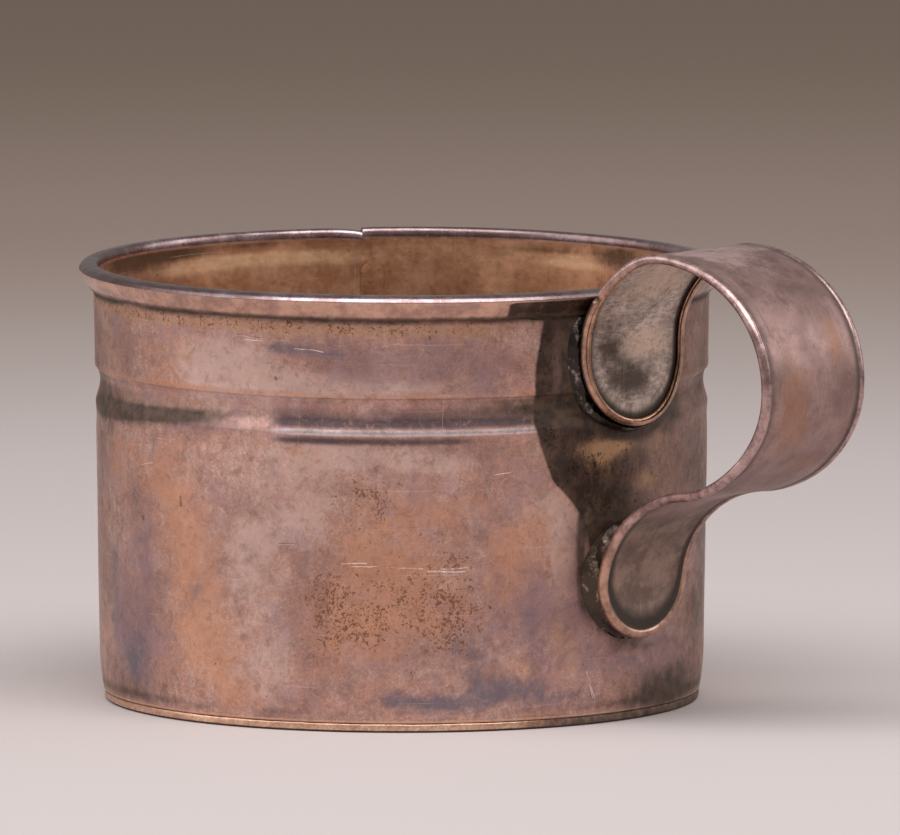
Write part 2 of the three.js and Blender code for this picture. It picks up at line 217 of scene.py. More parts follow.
class Finish:
    """A node material with a Principled shader. Each method adds a node and returns its output."""

    def __init__(self, name):
        self.material = bpy.data.materials.new(name)
        self.material.use_nodes = True
        self.tree = self.material.node_tree
        self.tree.nodes.clear()
        self.shader = self.tree.nodes.new("ShaderNodeBsdfPrincipled")
        output = self.tree.nodes.new("ShaderNodeOutputMaterial")
        self.tree.links.new(self.shader.outputs[0], output.inputs["Surface"])
        coordinates = self.tree.nodes.new("ShaderNodeTexCoord")
        self.place = self.scaled(coordinates.outputs["Object"], (1 / MM,) * 3)

    def feed(self, socket, value):
        if isinstance(value, bpy.types.NodeSocket):
            self.tree.links.new(value, socket)
        elif socket.type == "RGBA":
            socket.default_value = (*value, 1)
        else:
            socket.default_value = value

    def node(self, kind, settings=None, **inputs):
        made = self.tree.nodes.new(kind)
        for key, value in (settings or {}).items():
            setattr(made, key, value)
        for key, value in inputs.items():
            self.feed(made.inputs[key.replace("_", " ")], value)
        return made

    def vector(self, operation, a, b):
        made = self.node("ShaderNodeVectorMath", {"operation": operation})
        self.feed(made.inputs[0], a)
        self.feed(made.inputs[1], b)
        return made.outputs["Value"] if operation in ("DOT_PRODUCT", "DISTANCE") else made.outputs[0]

    def scaled(self, vector, factors):
        return self.vector("MULTIPLY", vector, factors)

    def math(self, operation, a, b=0.0):
        made = self.node("ShaderNodeMath", {"operation": operation})
        self.feed(made.inputs[0], a)
        self.feed(made.inputs[1], b)
        return made.outputs[0]

    def total(self, *values):
        result = values[0]
        for value in values[1:]:
            result = self.math("ADD", result, value)
        return result

    def times(self, a, b):
        return self.math("MULTIPLY", a, b)

    def less(self, a, b):
        return self.math("SUBTRACT", a, b)

    def most(self, *values):
        result = values[0]
        for value in values[1:]:
            result = self.math("MAXIMUM", result, value)
        return result

    def field(self, name):
        made = self.node("ShaderNodeAttribute", {"attribute_name": name})
        return made.outputs["Fac"]

    def vector_field(self, name):
        made = self.node("ShaderNodeAttribute", {"attribute_name": name})
        return made.outputs["Vector"]

    def noise(self, size, detail=3.0, rough=0.55, at=None, warp=0.0):
        made = self.node("ShaderNodeTexNoise", Vector=at or self.place, Scale=1 / size,
                         Detail=detail, Roughness=rough, Distortion=warp)
        return made.outputs["Fac"]

    def shaken(self, size, reach, at=None):
        """Coordinates pushed about by noise, so that what follows them isn't regular."""
        at = at or self.place
        made = self.node("ShaderNodeTexNoise", Vector=at, Scale=1 / size, Detail=2.0)
        centred = self.vector("SUBTRACT", made.outputs["Color"], (0.5, 0.5, 0.5))
        return self.vector("ADD", at, self.scaled(centred, (2 * reach,) * 3))

    def rise(self, value, low, high, start=0.0, end=1.0):
        """An S-curve from start at low to end at high."""
        made = self.node("ShaderNodeMapRange", {"interpolation_type": "SMOOTHSTEP"}, Value=value)
        self.feed(made.inputs["From Min"], low)
        self.feed(made.inputs["From Max"], high)
        self.feed(made.inputs["To Min"], start)
        self.feed(made.inputs["To Max"], end)
        return made.outputs[0]

    def clouds(self, grain, limits, end=1.0, start=0.0, warp=0.0):
        """Noise between limits spread from start to end: grain is its size, detail and roughness."""
        return self.rise(self.noise(*grain, warp=warp), *limits, start, end)

    def clouded(self, grain, limits, first, second, warp=0.0):
        """Two screen colours in clouds."""
        return self.mix(self.clouds(grain, limits, warp=warp), srgb(*first), srgb(*second))

    def mix(self, share, a, b, blend="MIX"):
        made = self.node("ShaderNodeMix", {"data_type": "RGBA", "blend_type": blend})
        self.feed(made.inputs[0], share)
        self.feed(made.inputs[6], a)
        self.feed(made.inputs[7], b)
        return made.outputs[2]

    def tint(self, colour, share, strength, tone):
        """Mixes a screen colour over colour where share says so, at most as strong as strength."""
        return self.mix(self.times(share, strength), colour, srgb(*tone))

    def veil(self, colour, grain, limits, strength, tone, warp=0.0):
        """Lays a screen colour over colour in clouds, at most as strong as strength."""
        return self.mix(self.clouds(grain, limits, strength, warp=warp), colour, srgb(*tone))

    def layered(self, colour, *layers):
        """Lays painted fields over colour. Each layer is a field, patch's arguments, strength, tone."""
        for field, edge, strength, tone in layers:
            colour = self.tint(colour, self.patch(field, *edge), strength, tone)
        return colour

    def patch(self, field, size, low=0.28, high=0.85, ragged=1.5):
        """A painted field whose edge is broken up by noise of the given size."""
        painted_on = self.field(field)
        edge = self.times(self.less(self.noise(size, 7.0, 0.75), 0.5), ragged)
        broken = self.rise(self.total(painted_on, edge), low, high)
        return self.times(broken, self.rise(painted_on, 0.0, 0.25))

    def pits(self, density, size):
        """Small round-edged pits. More of the cells hold one, and a larger one, as density grows."""
        at = self.shaken(size * 0.8, size * 0.22)
        made = self.node("ShaderNodeTexVoronoi", Vector=at, Scale=1 / size)
        pick = self.less(self.total(made.outputs["Color"], density), 1.0)
        radius = self.times(self.most(pick, 0.0), 0.8)
        depth = self.less(radius, made.outputs["Distance"])
        return self.rise(depth, -0.02, 0.12), self.rise(depth, -0.3, 0.05)

    def flecks(self, density, size):
        """Irregular flecks in crowds. There are more of them, and larger ones, as density grows."""
        crowd = self.times(self.noise(size * 5, 3.0, 0.6), 0.5)
        single = self.noise(size, 2.5, 0.65, at=self.shaken(size, size * 0.4))
        level = self.total(single, crowd, self.times(density, 0.2))
        return self.rise(level, 1.01, 1.07), self.rise(level, 0.9, 1.05)

    def scratch(self, at, start, end, width):
        """A straight scratch between two places of a flat map in mm."""
        start, end = np.array(start, float), np.array(end, float)
        length = float(np.linalg.norm(end - start))
        direction = tuple((end - start) / length) + (0.0,)
        offset = self.vector("SUBTRACT", at, tuple(start) + (0.0,))
        along = self.vector("DOT_PRODUCT", offset, direction)
        held = self.math("MINIMUM", self.most(along, 0.0), length)
        nearest = self.node("ShaderNodeVectorMath", {"operation": "SCALE"})
        self.feed(nearest.inputs[0], direction)
        self.feed(nearest.inputs["Scale"], held)
        apart = self.vector("DISTANCE", offset, nearest.outputs[0])
        return self.rise(apart, 0.35 * width, width, 1.0, 0.0)

    def streaks(self, at, factors, low, high):
        """Fine parallel scratches: noise squeezed to threads by factors along the flat map."""
        return self.rise(self.noise(1.0, 2.0, 0.5, at=self.scaled(at, factors)), low, high)

    def finish(self, colour, rough, height, metal, strength=1.0):
        """Fills the shader. height is in mm."""
        bump = self.node("ShaderNodeBump", Strength=strength, Distance=MM, Height=height)
        self.feed(self.shader.inputs["Base Color"], colour)
        self.feed(self.shader.inputs["Roughness"], rough)
        self.feed(self.shader.inputs["Metallic"], metal)
        self.feed(self.shader.inputs["Normal"], bump.outputs[0])
        return self.material


def mottled_copper(f, pale, dark):
    """Two tones of copper in soft clouds, with fine grain."""
    clouds = f.clouds((12, 7.0, 0.66), (0.36, 0.62), warp=0.5)
    colour = f.mix(clouds, dark, pale)
    colour = f.veil(colour, (5, 7.0, 0.72), (0.44, 0.6), 0.6, (204, 150, 130))
    colour = f.veil(colour, (3.2, 7.0, 0.76), (0.5, 0.64), 0.62, (128, 98, 90), warp=0.6)
    speckle = f.clouds((1.1, 6.0, 0.8), (0.4, 0.68))
    colour = f.mix(f.times(speckle, 0.5), colour, dark)
    grain = f.clouds((0.35, 3.0, 0.75), (0.3, 0.7), 1.16, 0.76)
    grey = f.node("ShaderNodeCombineColor", Red=grain, Green=grain, Blue=grain)
    return f.mix(1.0, colour, grey.outputs[0], "MULTIPLY")


# Scratches on the outside of the wall: azimuth and height at both ends, and the width in mm.
BRIGHT_SCRATCHES = (
    (-59, 23.4, -54.5, 23.5, 0.12), (-57.5, 23.0, -52, 23.1, 0.09), (-50, 22.9, -44, 22.7, 0.08),
    (-43, 22.3, -36, 22.2, 0.15), (-40.5, 22.6, -35.5, 22.7, 0.09), (-110, 35.4, -107, 34.6, 0.08),
    (-107, 34.6, -102, 35.2, 0.08), (-78, 53.6, -70, 53.8, 0.08), (-10.5, 7.5, -8.8, 3.6, 0.1),
    (-9.3, 5.2, -8.2, 3.4, 0.1), (-68, 52.7, -62, 52.5, 0.08), (-31, 35.4, -27, 35.7, 0.08),
    (62, 22, 74, 23.5, 0.12), (66, 21, 75, 22, 0.09), (101, 12, 96, 20, 0.1),
    (150, 31, 163, 29, 0.12), (188, 18, 199, 18.6, 0.14), (190, 17.4, 197, 17.8, 0.09),
    (214, 50, 224, 50.5, 0.1), (44, 52, 52, 51, 0.1),
)
DARK_SCRATCHES = (
    (-71.5, 25.8, -67.8, 25.9, 0.1), (-67.8, 25.9, -67.5, 25.6, 0.1),
    (-64.0, 12.9, -62.7, 12.6, 0.16), (-62.7, 12.6, -62.3, 11.6, 0.18),
    (-62.3, 11.6, -62.7, 10.6, 0.16), (-93.9, 31.0, -93.8, 29.8, 0.26),
    (-71.8, 48.6, -71.6, 48.4, 0.34), (-105.8, 27.5, -105.5, 27.3, 0.4),
    (-31.2, 17.2, -31, 17, 0.25), (-80, 54.2, -74, 54.0, 0.09), (-63, 53.6, -58.5, 53.5, 0.08),
    (-52, 53.4, -47, 53.3, 0.08), (82, 30, 84, 27, 0.16), (112, 50, 116, 50.4, 0.14),
    (171, 12, 172, 9.5, 0.2), (207, 33, 212, 32.6, 0.14),
)


def on_map(azimuth, height):
    """A place on the wall as the flat map has it: mm round from the lap seam, and height."""
    return (math.radians((azimuth - SEAM_AZIMUTH) % 360) * FOOT_RADIUS, height)


def wall_finish():
    f = Finish("worn_copper_wall")
    inside = f.field("inside")
    rim = f.field("rim")
    flat = f.shaken(4, 0.25, at=f.vector_field("flat"))

    colour = mottled_copper(f, srgb(220, 180, 166), srgb(166, 132, 124))
    colour = f.veil(colour, (8, 7.0, 0.7), (0.5, 0.62), 0.5, (176, 144, 150))
    brushed = f.noise(1.0, 5.0, 0.65, at=f.scaled(flat, (0.9, 0.22, 1)))
    colour = f.mix(f.rise(brushed, 0.36, 0.68, 0.0, 0.45), colour, srgb(172, 130, 118))
    colour = f.layered(
        colour,
        ("pale", (3.5, 0.25, 0.95, 2.0), 0.62, (222, 190, 180)),
        ("warm", (3, 0.25, 0.95, 2.1), 0.66, (210, 151, 118)),
        ("mauve", (3.5, 0.25, 0.95, 2.0), 0.6, (148, 118, 124)),
        ("blue", (2.5, 0.2, 1.0, 1.8), 0.85, (110, 106, 120)),
        ("gold", (1.5,), 0.6, (198, 156, 124)),
        # Painted dark reflections: bands above and below the channel's lower shoulder, across the
        # front.
        ("dark_reflection_bands", (2.5, 0.05, 0.9, 0.7), 0.93, (84, 70, 76)),
    )
    # A painted highlight along the channel's lower shoulder, where the wall is also polished.
    polish_and_highlight = f.patch("polish_and_highlight", 2.5, 0.1, 1.0, 0.5)
    colour = f.tint(colour, polish_and_highlight, 0.92, (244, 226, 228))
    colour = f.tint(colour, f.patch("foot", 0.8, 0.3, 0.7, 1.2), 0.7, (226, 188, 160))

    colour = f.veil(colour, (1.5, 7.0, 0.8), (0.48, 0.7), 0.55, (130, 98, 86), warp=0.6)
    colour = f.veil(colour, (2.2, 7.0, 0.8), (0.52, 0.7), 0.4, (216, 168, 140), warp=0.6)

    bowl = f.clouded((9, 6.0, 0.66), (0.36, 0.64), (168, 116, 84), (210, 158, 124))
    bowl = f.veil(bowl, (2.5, 5.0, 0.72), (0.5, 0.7), 0.5, (130, 88, 62))
    deep = f.clouded((7, 6.0, 0.7), (0.38, 0.62), (112, 88, 74), (158, 126, 106))
    bowl = f.mix(f.times(f.field("deep"), 0.75), bowl, deep)
    # Painted highlights inside the mouth, and burnt brown patches.
    bowl = f.layered(bowl, ("painted_inner_highlight", (2.4, 0.1, 1.05, 0.9), 0.9, (238, 192, 152)),
                     ("burnt", (1.8, 0.15, 1.0, 1.1), 0.86, (80, 58, 44)))
    colour = f.mix(inside, colour, bowl)
    skirt = f.clouded((3.0, 6.0, 0.72), (0.38, 0.64), (216, 172, 150), (172, 136, 124))
    crown = f.clouded((4.0, 5.0, 0.7), (0.36, 0.64), (174, 156, 160), (132, 110, 112))
    # Painted shade: the rim's crown darker where it takes no highlight, at left, back and handle.
    crown = f.tint(crown, f.field("rim_shade"), 0.75, (104, 84, 86))
    lip = f.mix(f.rise(rim, 0.78, 0.98), skirt, crown)
    colour = f.mix(f.rise(rim, 0.3, 0.7, 0.0, 0.92), colour, lip)

    pitted = f.field("pitted")
    fine, fine_halo = f.flecks(f.times(pitted, 1.1), 0.36)
    coarse, coarse_halo = f.flecks(f.times(pitted, 0.9), 0.7)
    round_pits, _ = f.pits(f.total(f.times(pitted, 0.16), 0.03), 0.8)
    pits = f.most(fine, coarse, round_pits)
    halo = f.times(f.most(fine_halo, coarse_halo), f.rise(pitted, 0.05, 0.5, 0.3, 0.7))
    colour = f.tint(colour, halo, 0.75, (190, 130, 98))
    colour = f.tint(colour, pits, 0.74, (84, 54, 38))

    def scratches(places):
        marks = [f.scratch(flat, on_map(a, h), on_map(b, k), w) for a, h, b, k, w in places]
        return f.times(f.most(*marks), f.clouds((0.8, 2.0), (0.3, 0.55), 1.0, 0.35))

    bright = scratches(BRIGHT_SCRATCHES)
    dark = scratches(DARK_SCRATCHES)
    hair = f.most(f.streaks(flat, (0.05, 3.0, 1), 0.66, 0.74),
                  f.streaks(flat, (3.4, 0.06, 1), 0.68, 0.76))
    colour = f.tint(colour, hair, 0.26, (232, 204, 196))
    colour = f.tint(colour, bright, 0.75, (250, 224, 214))
    colour = f.tint(colour, dark, 0.62, (74, 58, 52))

    # A painted highlight: a thin bright line along the painted handle shadow's left edge, low down.
    colour = f.tint(colour, f.patch("painted_edge_highlight", 1, ragged=0.8), 0.6, (224, 182, 160))
    # Painted shadow and reflection of the handle on the wall, in dark brown clouds.
    shade = f.times(f.patch("shade", 1.2, 0.38, 0.62, 0.12), f.field("shadow_strength"))
    shadow_tone = f.clouded((2.6, 7.0, 0.75), (0.42, 0.62), (48, 39, 34), (90, 72, 60))
    colour = f.mix(shade, colour, shadow_tone)
    colour = f.tint(colour, f.patch("golden", 1.8, 0.05, 1.1, 1.6), 0.9, (196, 154, 120))
    specks, _ = f.flecks(f.times(shade, 0.9), 0.5)
    colour = f.tint(colour, specks, 0.7, (40, 32, 26))
    # Dark tone for dirt, and for painted shade under the rim, in the channel and by the handle.
    grime_and_shade = f.patch("grime_and_shade", 1.6, 0.15, 1.0, 0.8)
    dark_tone = f.clouded((1.8, 5.0, 0.72), (0.35, 0.65), (46, 36, 30), (90, 70, 56))
    colour = f.mix(f.times(grime_and_shade, 0.93), colour, dark_tone)

    rough = f.clouds((6, 4.0, 0.65), (0.3, 0.7), 0.5, 0.38)
    polish = f.most(rim, polish_and_highlight)
    rough = f.less(rough, f.times(polish, 0.13))
    rough = f.total(rough, f.times(grime_and_shade, 0.16), f.times(pits, 0.3),
                    f.clouds((0.9, 3.0, 0.7), (0.3, 0.7), 0.06, -0.05))
    height = f.total(
        f.times(pits, -0.05),
        f.times(dark, -0.04),
        f.times(bright, -0.015),
        f.times(hair, -0.004),
        f.times(f.noise(0.5, 3.0, 0.6), 0.012),
        f.times(f.noise(3.2, 3.0, 0.5), 0.05),
        f.times(grime_and_shade, 0.03),
    )
    clean = f.rise(polish, 0.3, 1.0, 0.78, 0.98)
    metal = f.less(clean, f.times(f.most(grime_and_shade, pits), 0.4))
    return f.finish(colour, rough, height, metal)


def base_finish():
    f = Finish("worn_copper_base")
    colour = mottled_copper(f, srgb(240, 204, 178), srgb(204, 162, 136))
    under = f.field("under")
    colour = f.mix(f.times(under, 0.7), colour,
                   f.clouded((7, 4.0, 0.6), (0.35, 0.65), (120, 92, 80), (168, 128, 108)))
    inside = f.field("inside")
    colour = f.mix(inside, colour,
                   f.clouded((6, 5.0, 0.7), (0.38, 0.62), (104, 82, 68), (156, 128, 108)))
    pits, halo = f.pits(f.total(f.times(under, 0.12), 0.14), 0.8)
    colour = f.tint(colour, halo, 0.35, (150, 98, 72))
    colour = f.tint(colour, pits, 0.85, (48, 34, 28))
    hair = f.most(f.streaks(f.place, (0.06, 2.4, 1), 0.62, 0.72),
                  f.streaks(f.place, (2.2, 0.07, 1), 0.64, 0.74))
    colour = f.tint(colour, hair, 0.4, (236, 200, 178))
    # Dirt, and painted contact shadow along the bottom bend, as a near-black tint.
    grime_and_shade = f.patch("grime_and_shade", 1.2, 0.3, 0.8, 0.5)
    colour = f.tint(colour, grime_and_shade, 0.9, (38, 30, 26))
    rough = f.total(f.clouds((3, 4.0, 0.65), (0.3, 0.7), 0.46, 0.3), f.times(grime_and_shade, 0.3))
    height = f.total(f.times(pits, -0.05), f.times(hair, -0.006),
                     f.times(f.noise(1.4, 4.0, 0.6), 0.04))
    metal = f.less(1.0, f.times(f.most(grime_and_shade, pits), 0.5))
    return f.finish(colour, rough, height, metal)


def strap_finish():
    f = Finish("worn_copper_strap")
    flat = f.vector_field("flat")
    finger = f.field("finger")
    roll = f.field("roll")

    outer = f.clouded((9, 7.0, 0.68), (0.36, 0.64), (146, 118, 113), (176, 144, 138))
    # Painted light where the strap's outer face turns up: on the loop's crest and the lower neck.
    outer = f.tint(outer, f.patch("painted_top_light", 4), 0.7, (218, 188, 186))
    outer = f.veil(outer, (2.6, 7.0, 0.75), (0.48, 0.66), 0.5, (122, 98, 92))
    outer = f.tint(outer, f.patch("warm", 4), 0.6, (170, 124, 98))
    dull = f.clouded((4, 7.0, 0.7), (0.38, 0.64), (112, 94, 84), (166, 142, 126))
    outer = f.mix(f.times(f.patch("dull", 4, ragged=0.8), 0.85), outer, dull)
    brushed = f.noise(1.0, 5.0, 0.7, at=f.scaled(flat, (0.25, 5.0, 1)))
    outer = f.mix(f.rise(brushed, 0.4, 0.7, 0.0, 0.3), outer, srgb(122, 98, 94))
    worn = f.clouded((5, 7.0, 0.7), (0.38, 0.62), (182, 164, 154), (228, 208, 198), warp=0.3)
    hatched = f.noise(1.0, 6.0, 0.75, at=f.scaled(flat, (1.6, 0.5, 1)), warp=0.8)
    worn = f.mix(f.rise(hatched, 0.42, 0.62, 0.0, 0.55), worn, srgb(116, 100, 88))
    worn = f.layered(worn, ("pale", (2.4, 0.15, 1.0, 1.8), 0.8, (228, 200, 182)),
                     ("sooty", (2.2, 0.05, 1.1, 1.5), 0.88, (76, 64, 55)))
    worn = f.veil(worn, (1.1, 6.0, 0.78), (0.5, 0.68), 0.5, (98, 84, 70))
    colour = f.mix(finger, outer, worn)
    grain, limits = (2.4, 6.0, 0.72), (0.38, 0.64)
    rubbed = f.clouded(grain, limits, (202, 158, 136), (148, 116, 104))
    pinkish = f.clouded(grain, limits, (196, 164, 160), (136, 110, 108))
    rubbed = f.mix(f.field("loop"), rubbed, pinkish)
    colour = f.mix(roll, colour, rubbed)

    pits, halo = f.pits(f.total(f.times(roll, 0.1), 0.07), 0.7)
    colour = f.tint(colour, halo, 0.4, (110, 76, 62))
    colour = f.tint(colour, pits, 0.85, (46, 34, 30))
    hair = f.most(f.streaks(flat, (0.05, 5.0, 1), 0.66, 0.76),
                  f.streaks(flat, (3.5, 0.12, 1), 0.7, 0.78))
    colour = f.tint(colour, hair, 0.35, (226, 196, 184))
    # Dark patina and painted shade in the valleys beside the rolls, and dirt near the lower tip.
    grime_and_shade = f.patch("grime_and_shade", 1.5, 0.15, 1.0, 0.35)
    colour = f.tint(colour, grime_and_shade, 0.9, (48, 42, 38))

    rough = f.clouds((4, 4.0, 0.65), (0.3, 0.7), 0.55, 0.42)
    rough = f.less(rough, f.times(roll, 0.17))
    rough = f.total(rough, f.times(grime_and_shade, 0.16), f.times(finger, 0.06))
    height = f.total(f.times(pits, -0.05), f.times(hair, -0.005),
                     f.times(brushed, 0.012), f.times(f.noise(1.6, 4.0, 0.6), 0.04))
    metal = f.less(0.88, f.times(f.total(grime_and_shade, f.times(finger, 0.3)), 0.4))
    return f.finish(colour, rough, height, metal)


def wire_finish(name, bright, dull, dark_tone, rough_range):
    """Drawn wire: bright where it is rubbed, dull and dirty elsewhere."""
    f = Finish(name)
    colour = f.mix(f.clouds((2.2, 4.0, 0.65), (0.36, 0.66)), dull, bright)
    spots = f.clouds((0.7, 4.0, 0.7), (0.55, 0.68))
    colour = f.mix(f.times(spots, 0.75), colour, dark_tone)
    rough = f.rise(f.noise(1.3, 4.0, 0.6), 0.3, 0.7, *rough_range)
    height = f.total(f.times(f.noise(0.5, 4.0, 0.6), 0.03), f.times(spots, -0.03))
    metal = f.rise(spots, 0.0, 1.0, 1.0, 0.6)
    return f.finish(colour, rough, height, metal)


def solder_finish(name, dark, light, sooted=0.6, gloss=0.24):
    """Old soft solder: a dark skin, worn to lighter metal in places, with soot and pinholes."""
    f = Finish(name)
    worn = f.clouds((1.4, 5.0, 0.66), (0.54, 0.68), 0.75)
    colour = f.mix(worn, dark, light)
    soot = f.clouds((4.5, 4.0, 0.6), (0.42, 0.62))
    colour = f.mix(f.times(soot, sooted), colour, tuple(0.5 * part for part in dark))
    holes, halo = f.pits(0.2 * sooted, 0.8)
    colour = f.tint(colour, halo, 0.5, (34, 28, 24))
    rough = f.clouds((1.4, 4.0, 0.6), (0.3, 0.7), gloss + 0.16, gloss)
    height = f.total(f.times(holes, -0.06), f.times(f.noise(1.2, 3.0, 0.5), 0.07),
                     f.times(f.noise(0.3, 3.0, 0.6), 0.008))
    return f.finish(colour, rough, height, f.rise(worn, 0.0, 1.0, 0.7, 0.95))


# ------------------------------------------------------------------ mug wall

# Patches on the outside of the wall: azimuth, height, half width round the wall and half
# height in mm, and strength. Most are tarnish; the darkening patches are dirt and painted shade.
WARM = (
    (-98.5, 33, 5, 6, 0.7), (-91, 23, 5, 8, 0.9), (-87, 11, 6, 6, 0.9), (-80, 5, 4, 3, 0.5),
    (-53, 23, 8, 7, 0.75), (-58, 13, 6, 5, 0.7), (-41, 17, 7, 6, 0.5), (-46, 31, 6, 4, 0.4),
    (-24, 26, 5, 6, 0.8), (-20, 7, 5, 3, 0.5), (-96, 50, 6, 6, 0.5), (-10, 24, 3, 5, 0.4),
    (-115, 35, 5, 4, 0.7), (-28, 22, 2.6, 4, 0.7), (-30, 8, 4, 3, 0.5), (-36, 31, 4, 3, 0.5),
    (-68, 38.5, 7, 1.5, 0.5), (20, 12, 6, 8, 0.5), (55, 30, 12, 9, 0.7), (84, 14, 9, 8, 0.6),
    (120, 36, 9, 9, 0.8), (168, 20, 12, 10, 0.7), (205, 48, 10, 5, 0.6), (228, 12, 9, 7, 0.5),
)
PALE = (
    (-77, 24, 4.5, 7, 0.9), (-75, 9, 7, 6, 0.7), (-84, 48, 6, 5, 0.6), (-65, 34, 7, 5, 0.6),
    (-66, 28, 4, 4, 0.5), (-70, 48, 8, 4, 0.4), (-35, 24, 3, 3, 0.3), (-6, 15, 3, 4, 0.4),
    (-67, 47.6, 9, 1.4, 0.9), (-48, 47.6, 9, 1.4, 0.8), (-58, 38.2, 14, 1.6, 0.7),
    (-88, 50, 5, 5, 0.6), (-76, 51, 5, 4, 0.4), (-21, 31, 4, 3, 0.6), (-55, 20, 3, 3, 0.4),
    (-16.5, 25, 2.4, 8, 0.95), (-24, 15, 2, 4, 0.5), (-40, 36.5, 6, 1.5, 0.6), (40, 48, 9, 4, 0.5),
    (70, 34, 8, 7, 0.6), (100, 8, 8, 5, 0.5), (150, 30, 8, 9, 0.5), (190, 34, 9, 8, 0.6),
)
MAUVE = (
    (-88, 41.6, 8, 1.3, 0.9), (-50, 44, 14, 1.0, 0.5), (-22, 20, 2, 4, 0.4), (-21, 12, 2, 5, 0.4),
    (-114, 13, 6, 9, 0.8), (-106, 9, 4, 6, 0.7), (-44, 51, 9, 4, 0.8), (-58, 50, 7, 4, 0.5),
    (-31, 30, 6, 5, 0.5), (-31, 15, 6, 8, 0.8), (-14, 18, 5, 6, 0.8), (-6, 9, 6, 5, 0.8),
    (-47, 11, 6, 3, 0.5), (-104, 22, 3, 10, 0.6), (-28, 50, 4, 5, 0.5), (12, 10, 6, 6, 0.7),
    (8, 18, 6, 8, 0.6), (14, 5, 6, 4, 0.8), (34, 26, 9, 12, 0.7), (95, 30, 9, 8, 0.7),
    (132, 12, 10, 6, 0.7), (176, 44, 12, 6, 0.6), (215, 26, 9, 10, 0.8),
)
BLUE = (
    (-41, 4, 5, 1.5, 0.9), (-50, 4.6, 2.5, 1.3, 0.6), (-27, 5.5, 4.5, 2, 0.7),
    (-14, 4, 6, 1.6, 0.6), (-118, 18, 2.5, 9, 0.6), (-109, 8, 4, 4.5, 0.85), (-90, 19, 2, 3, 0.5),
    (-70, 52.8, 5, 0.9, 0.85), (-60, 51.9, 4, 0.8, 0.6), (-23.5, 15, 1.6, 2.5, 0.5),
    (-16, 26, 2.5, 2.5, 0.4), (4, 8, 6, 2, 0.5), (-33, 9, 3, 5, 0.6), (-38, 12.5, 2, 3, 0.5),
    (-21, 9, 2, 4, 0.4), (-2, 15, 2, 4, 0.4), (62, 8, 7, 3, 0.6), (110, 22, 4, 6, 0.5),
    (160, 8, 8, 3, 0.6), (222, 38, 4, 4, 0.5),
)
PITTED = (
    (-54, 32, 6, 4, 0.8), (-51, 18, 9, 7, 0.7), (-38, 15, 5, 7, 0.75), (-60, 14, 5, 5, 0.6),
    (-63, 19, 3, 4, 0.5), (-87, 8, 4, 4, 0.35), (-24, 8, 4, 4, 0.35), (-38, 25, 4, 4, 0.4),
    (-30, 34, 5, 3, 0.3), (-8, 16, 3, 4, 0.35), (-70, 55.4, 18, 0.9, 0.3), (75, 20, 9, 8, 0.6),
    (185, 14, 10, 7, 0.6), (125, 48, 9, 4, 0.4),
)
# Dirt round the handle and channel; painted shade under the tongues and down both sides.
DIRT_AND_SHADE = (
    (1, 40.5, 6, 1.6, 0.9), (-13.5, 43.6, 3, 2.4, 0.9), (-15, 51, 1.2, 7, 0.8), (14, 43, 3, 3, 0.8),
    (14, 50, 2, 7, 0.5), (-10, 28, 1.4, 3, 0.7), (0, 28.5, 7, 1.2, 0.7), (2, 10.2, 7, 1.0, 0.5),
    (-12, 20, 0.9, 6, 0.4), (12, 20, 1.0, 6, 0.4), (-119, 41.4, 12, 1.4, 1.0),
    (-104, 42.0, 8, 0.9, 0.8), (-93, 42.5, 6, 0.7, 0.5), (-20, 44.4, 5, 1.6, 0.5),
    (-14, 57.8, 1.4, 2, 0.9), (-112, 51, 6, 4, 0.35), (-110, 3.5, 10, 2.5, 0.5),
    (-128, 24, 7, 20, 0.5), (-129, 50, 7, 9, 0.45), (-90, 41.8, 9, 1.0, 0.3),
    (-84, 43.2, 9, 0.6, 0.35), (-30, 44.3, 7, 1.4, 0.4), (-117, 37.5, 6, 3, 0.25),
    (33, 26, 6, 22, 0.5), (34, 50, 6, 8, 0.4), (20, 33, 7, 5, 0.4), (22, 14, 6, 4, 0.3),
    (24, 11, 9, 9, 0.3), (10, 5, 12, 3.5, 0.3), (12, 3, 9, 3, 0.65), (-12.3, 27, 0.6, 3, 0.8),
)
GOLDEN = (
    (-8, 37.9, 3.4, 1.5, 1.0), (-3, 38.2, 2.5, 1.2, 0.7), (5, 33.1, 3, 1.4, 0.7),
    (-7, 35.5, 1.5, 2, 0.4), (9, 38, 2.5, 1.5, 0.4), (2, 9.4, 3, 0.8, 0.4),
    (-10.5, 28.6, 0.55, 1.1, 1.0), (-16.5, 25, 1.8, 7, 0.4), (-17, 12.5, 0.9, 2.6, 0.6),
    (-13.5, 9.5, 0.8, 2.2, 0.5),
)
# Patches inside the mouth: painted highlights along the inside below the rim, and patches
# where the wall is burnt brown.
INNER_HIGHLIGHTS = (
    (168, 56.3, 9, 0.9, 1.0), (155, 56.6, 8, 1.0, 0.7), (181, 55.6, 5, 0.9, 0.6),
    (97, 56.2, 5, 0.8, 1.3), (140, 56.2, 6, 0.8, 0.45), (118, 56.4, 4, 0.7, 0.45),
    (128, 57.8, 9, 0.5, 0.4), (20, 56, 12, 1, 0.7), (146, 53.5, 7, 2.2, 0.22),
    (122, 53.5, 7, 2.2, 0.22), (-50, 56, 14, 1, 0.8), (-110, 56, 9, 1, 0.6), (230, 50, 9, 4, 0.3),
)
BURNT = (
    (196, 58.6, 10, 2.4, 1.2), (178, 58.2, 8, 0.6, 0.9), (160, 58.6, 5, 0.4, 0.6),
    (104, 58.0, 7, 0.7, 0.8), (86, 57.6, 4, 2.0, 0.9), (113, 57, 3, 0.6, 0.4),
    (185, 54.6, 7, 0.6, 0.5), (60, 57.8, 12, 0.9, 0.7), (0, 58, 14, 1, 0.7), (-80, 58, 16, 1, 0.8),
    (128, 54.3, 2.5, 1.5, 0.3),
)


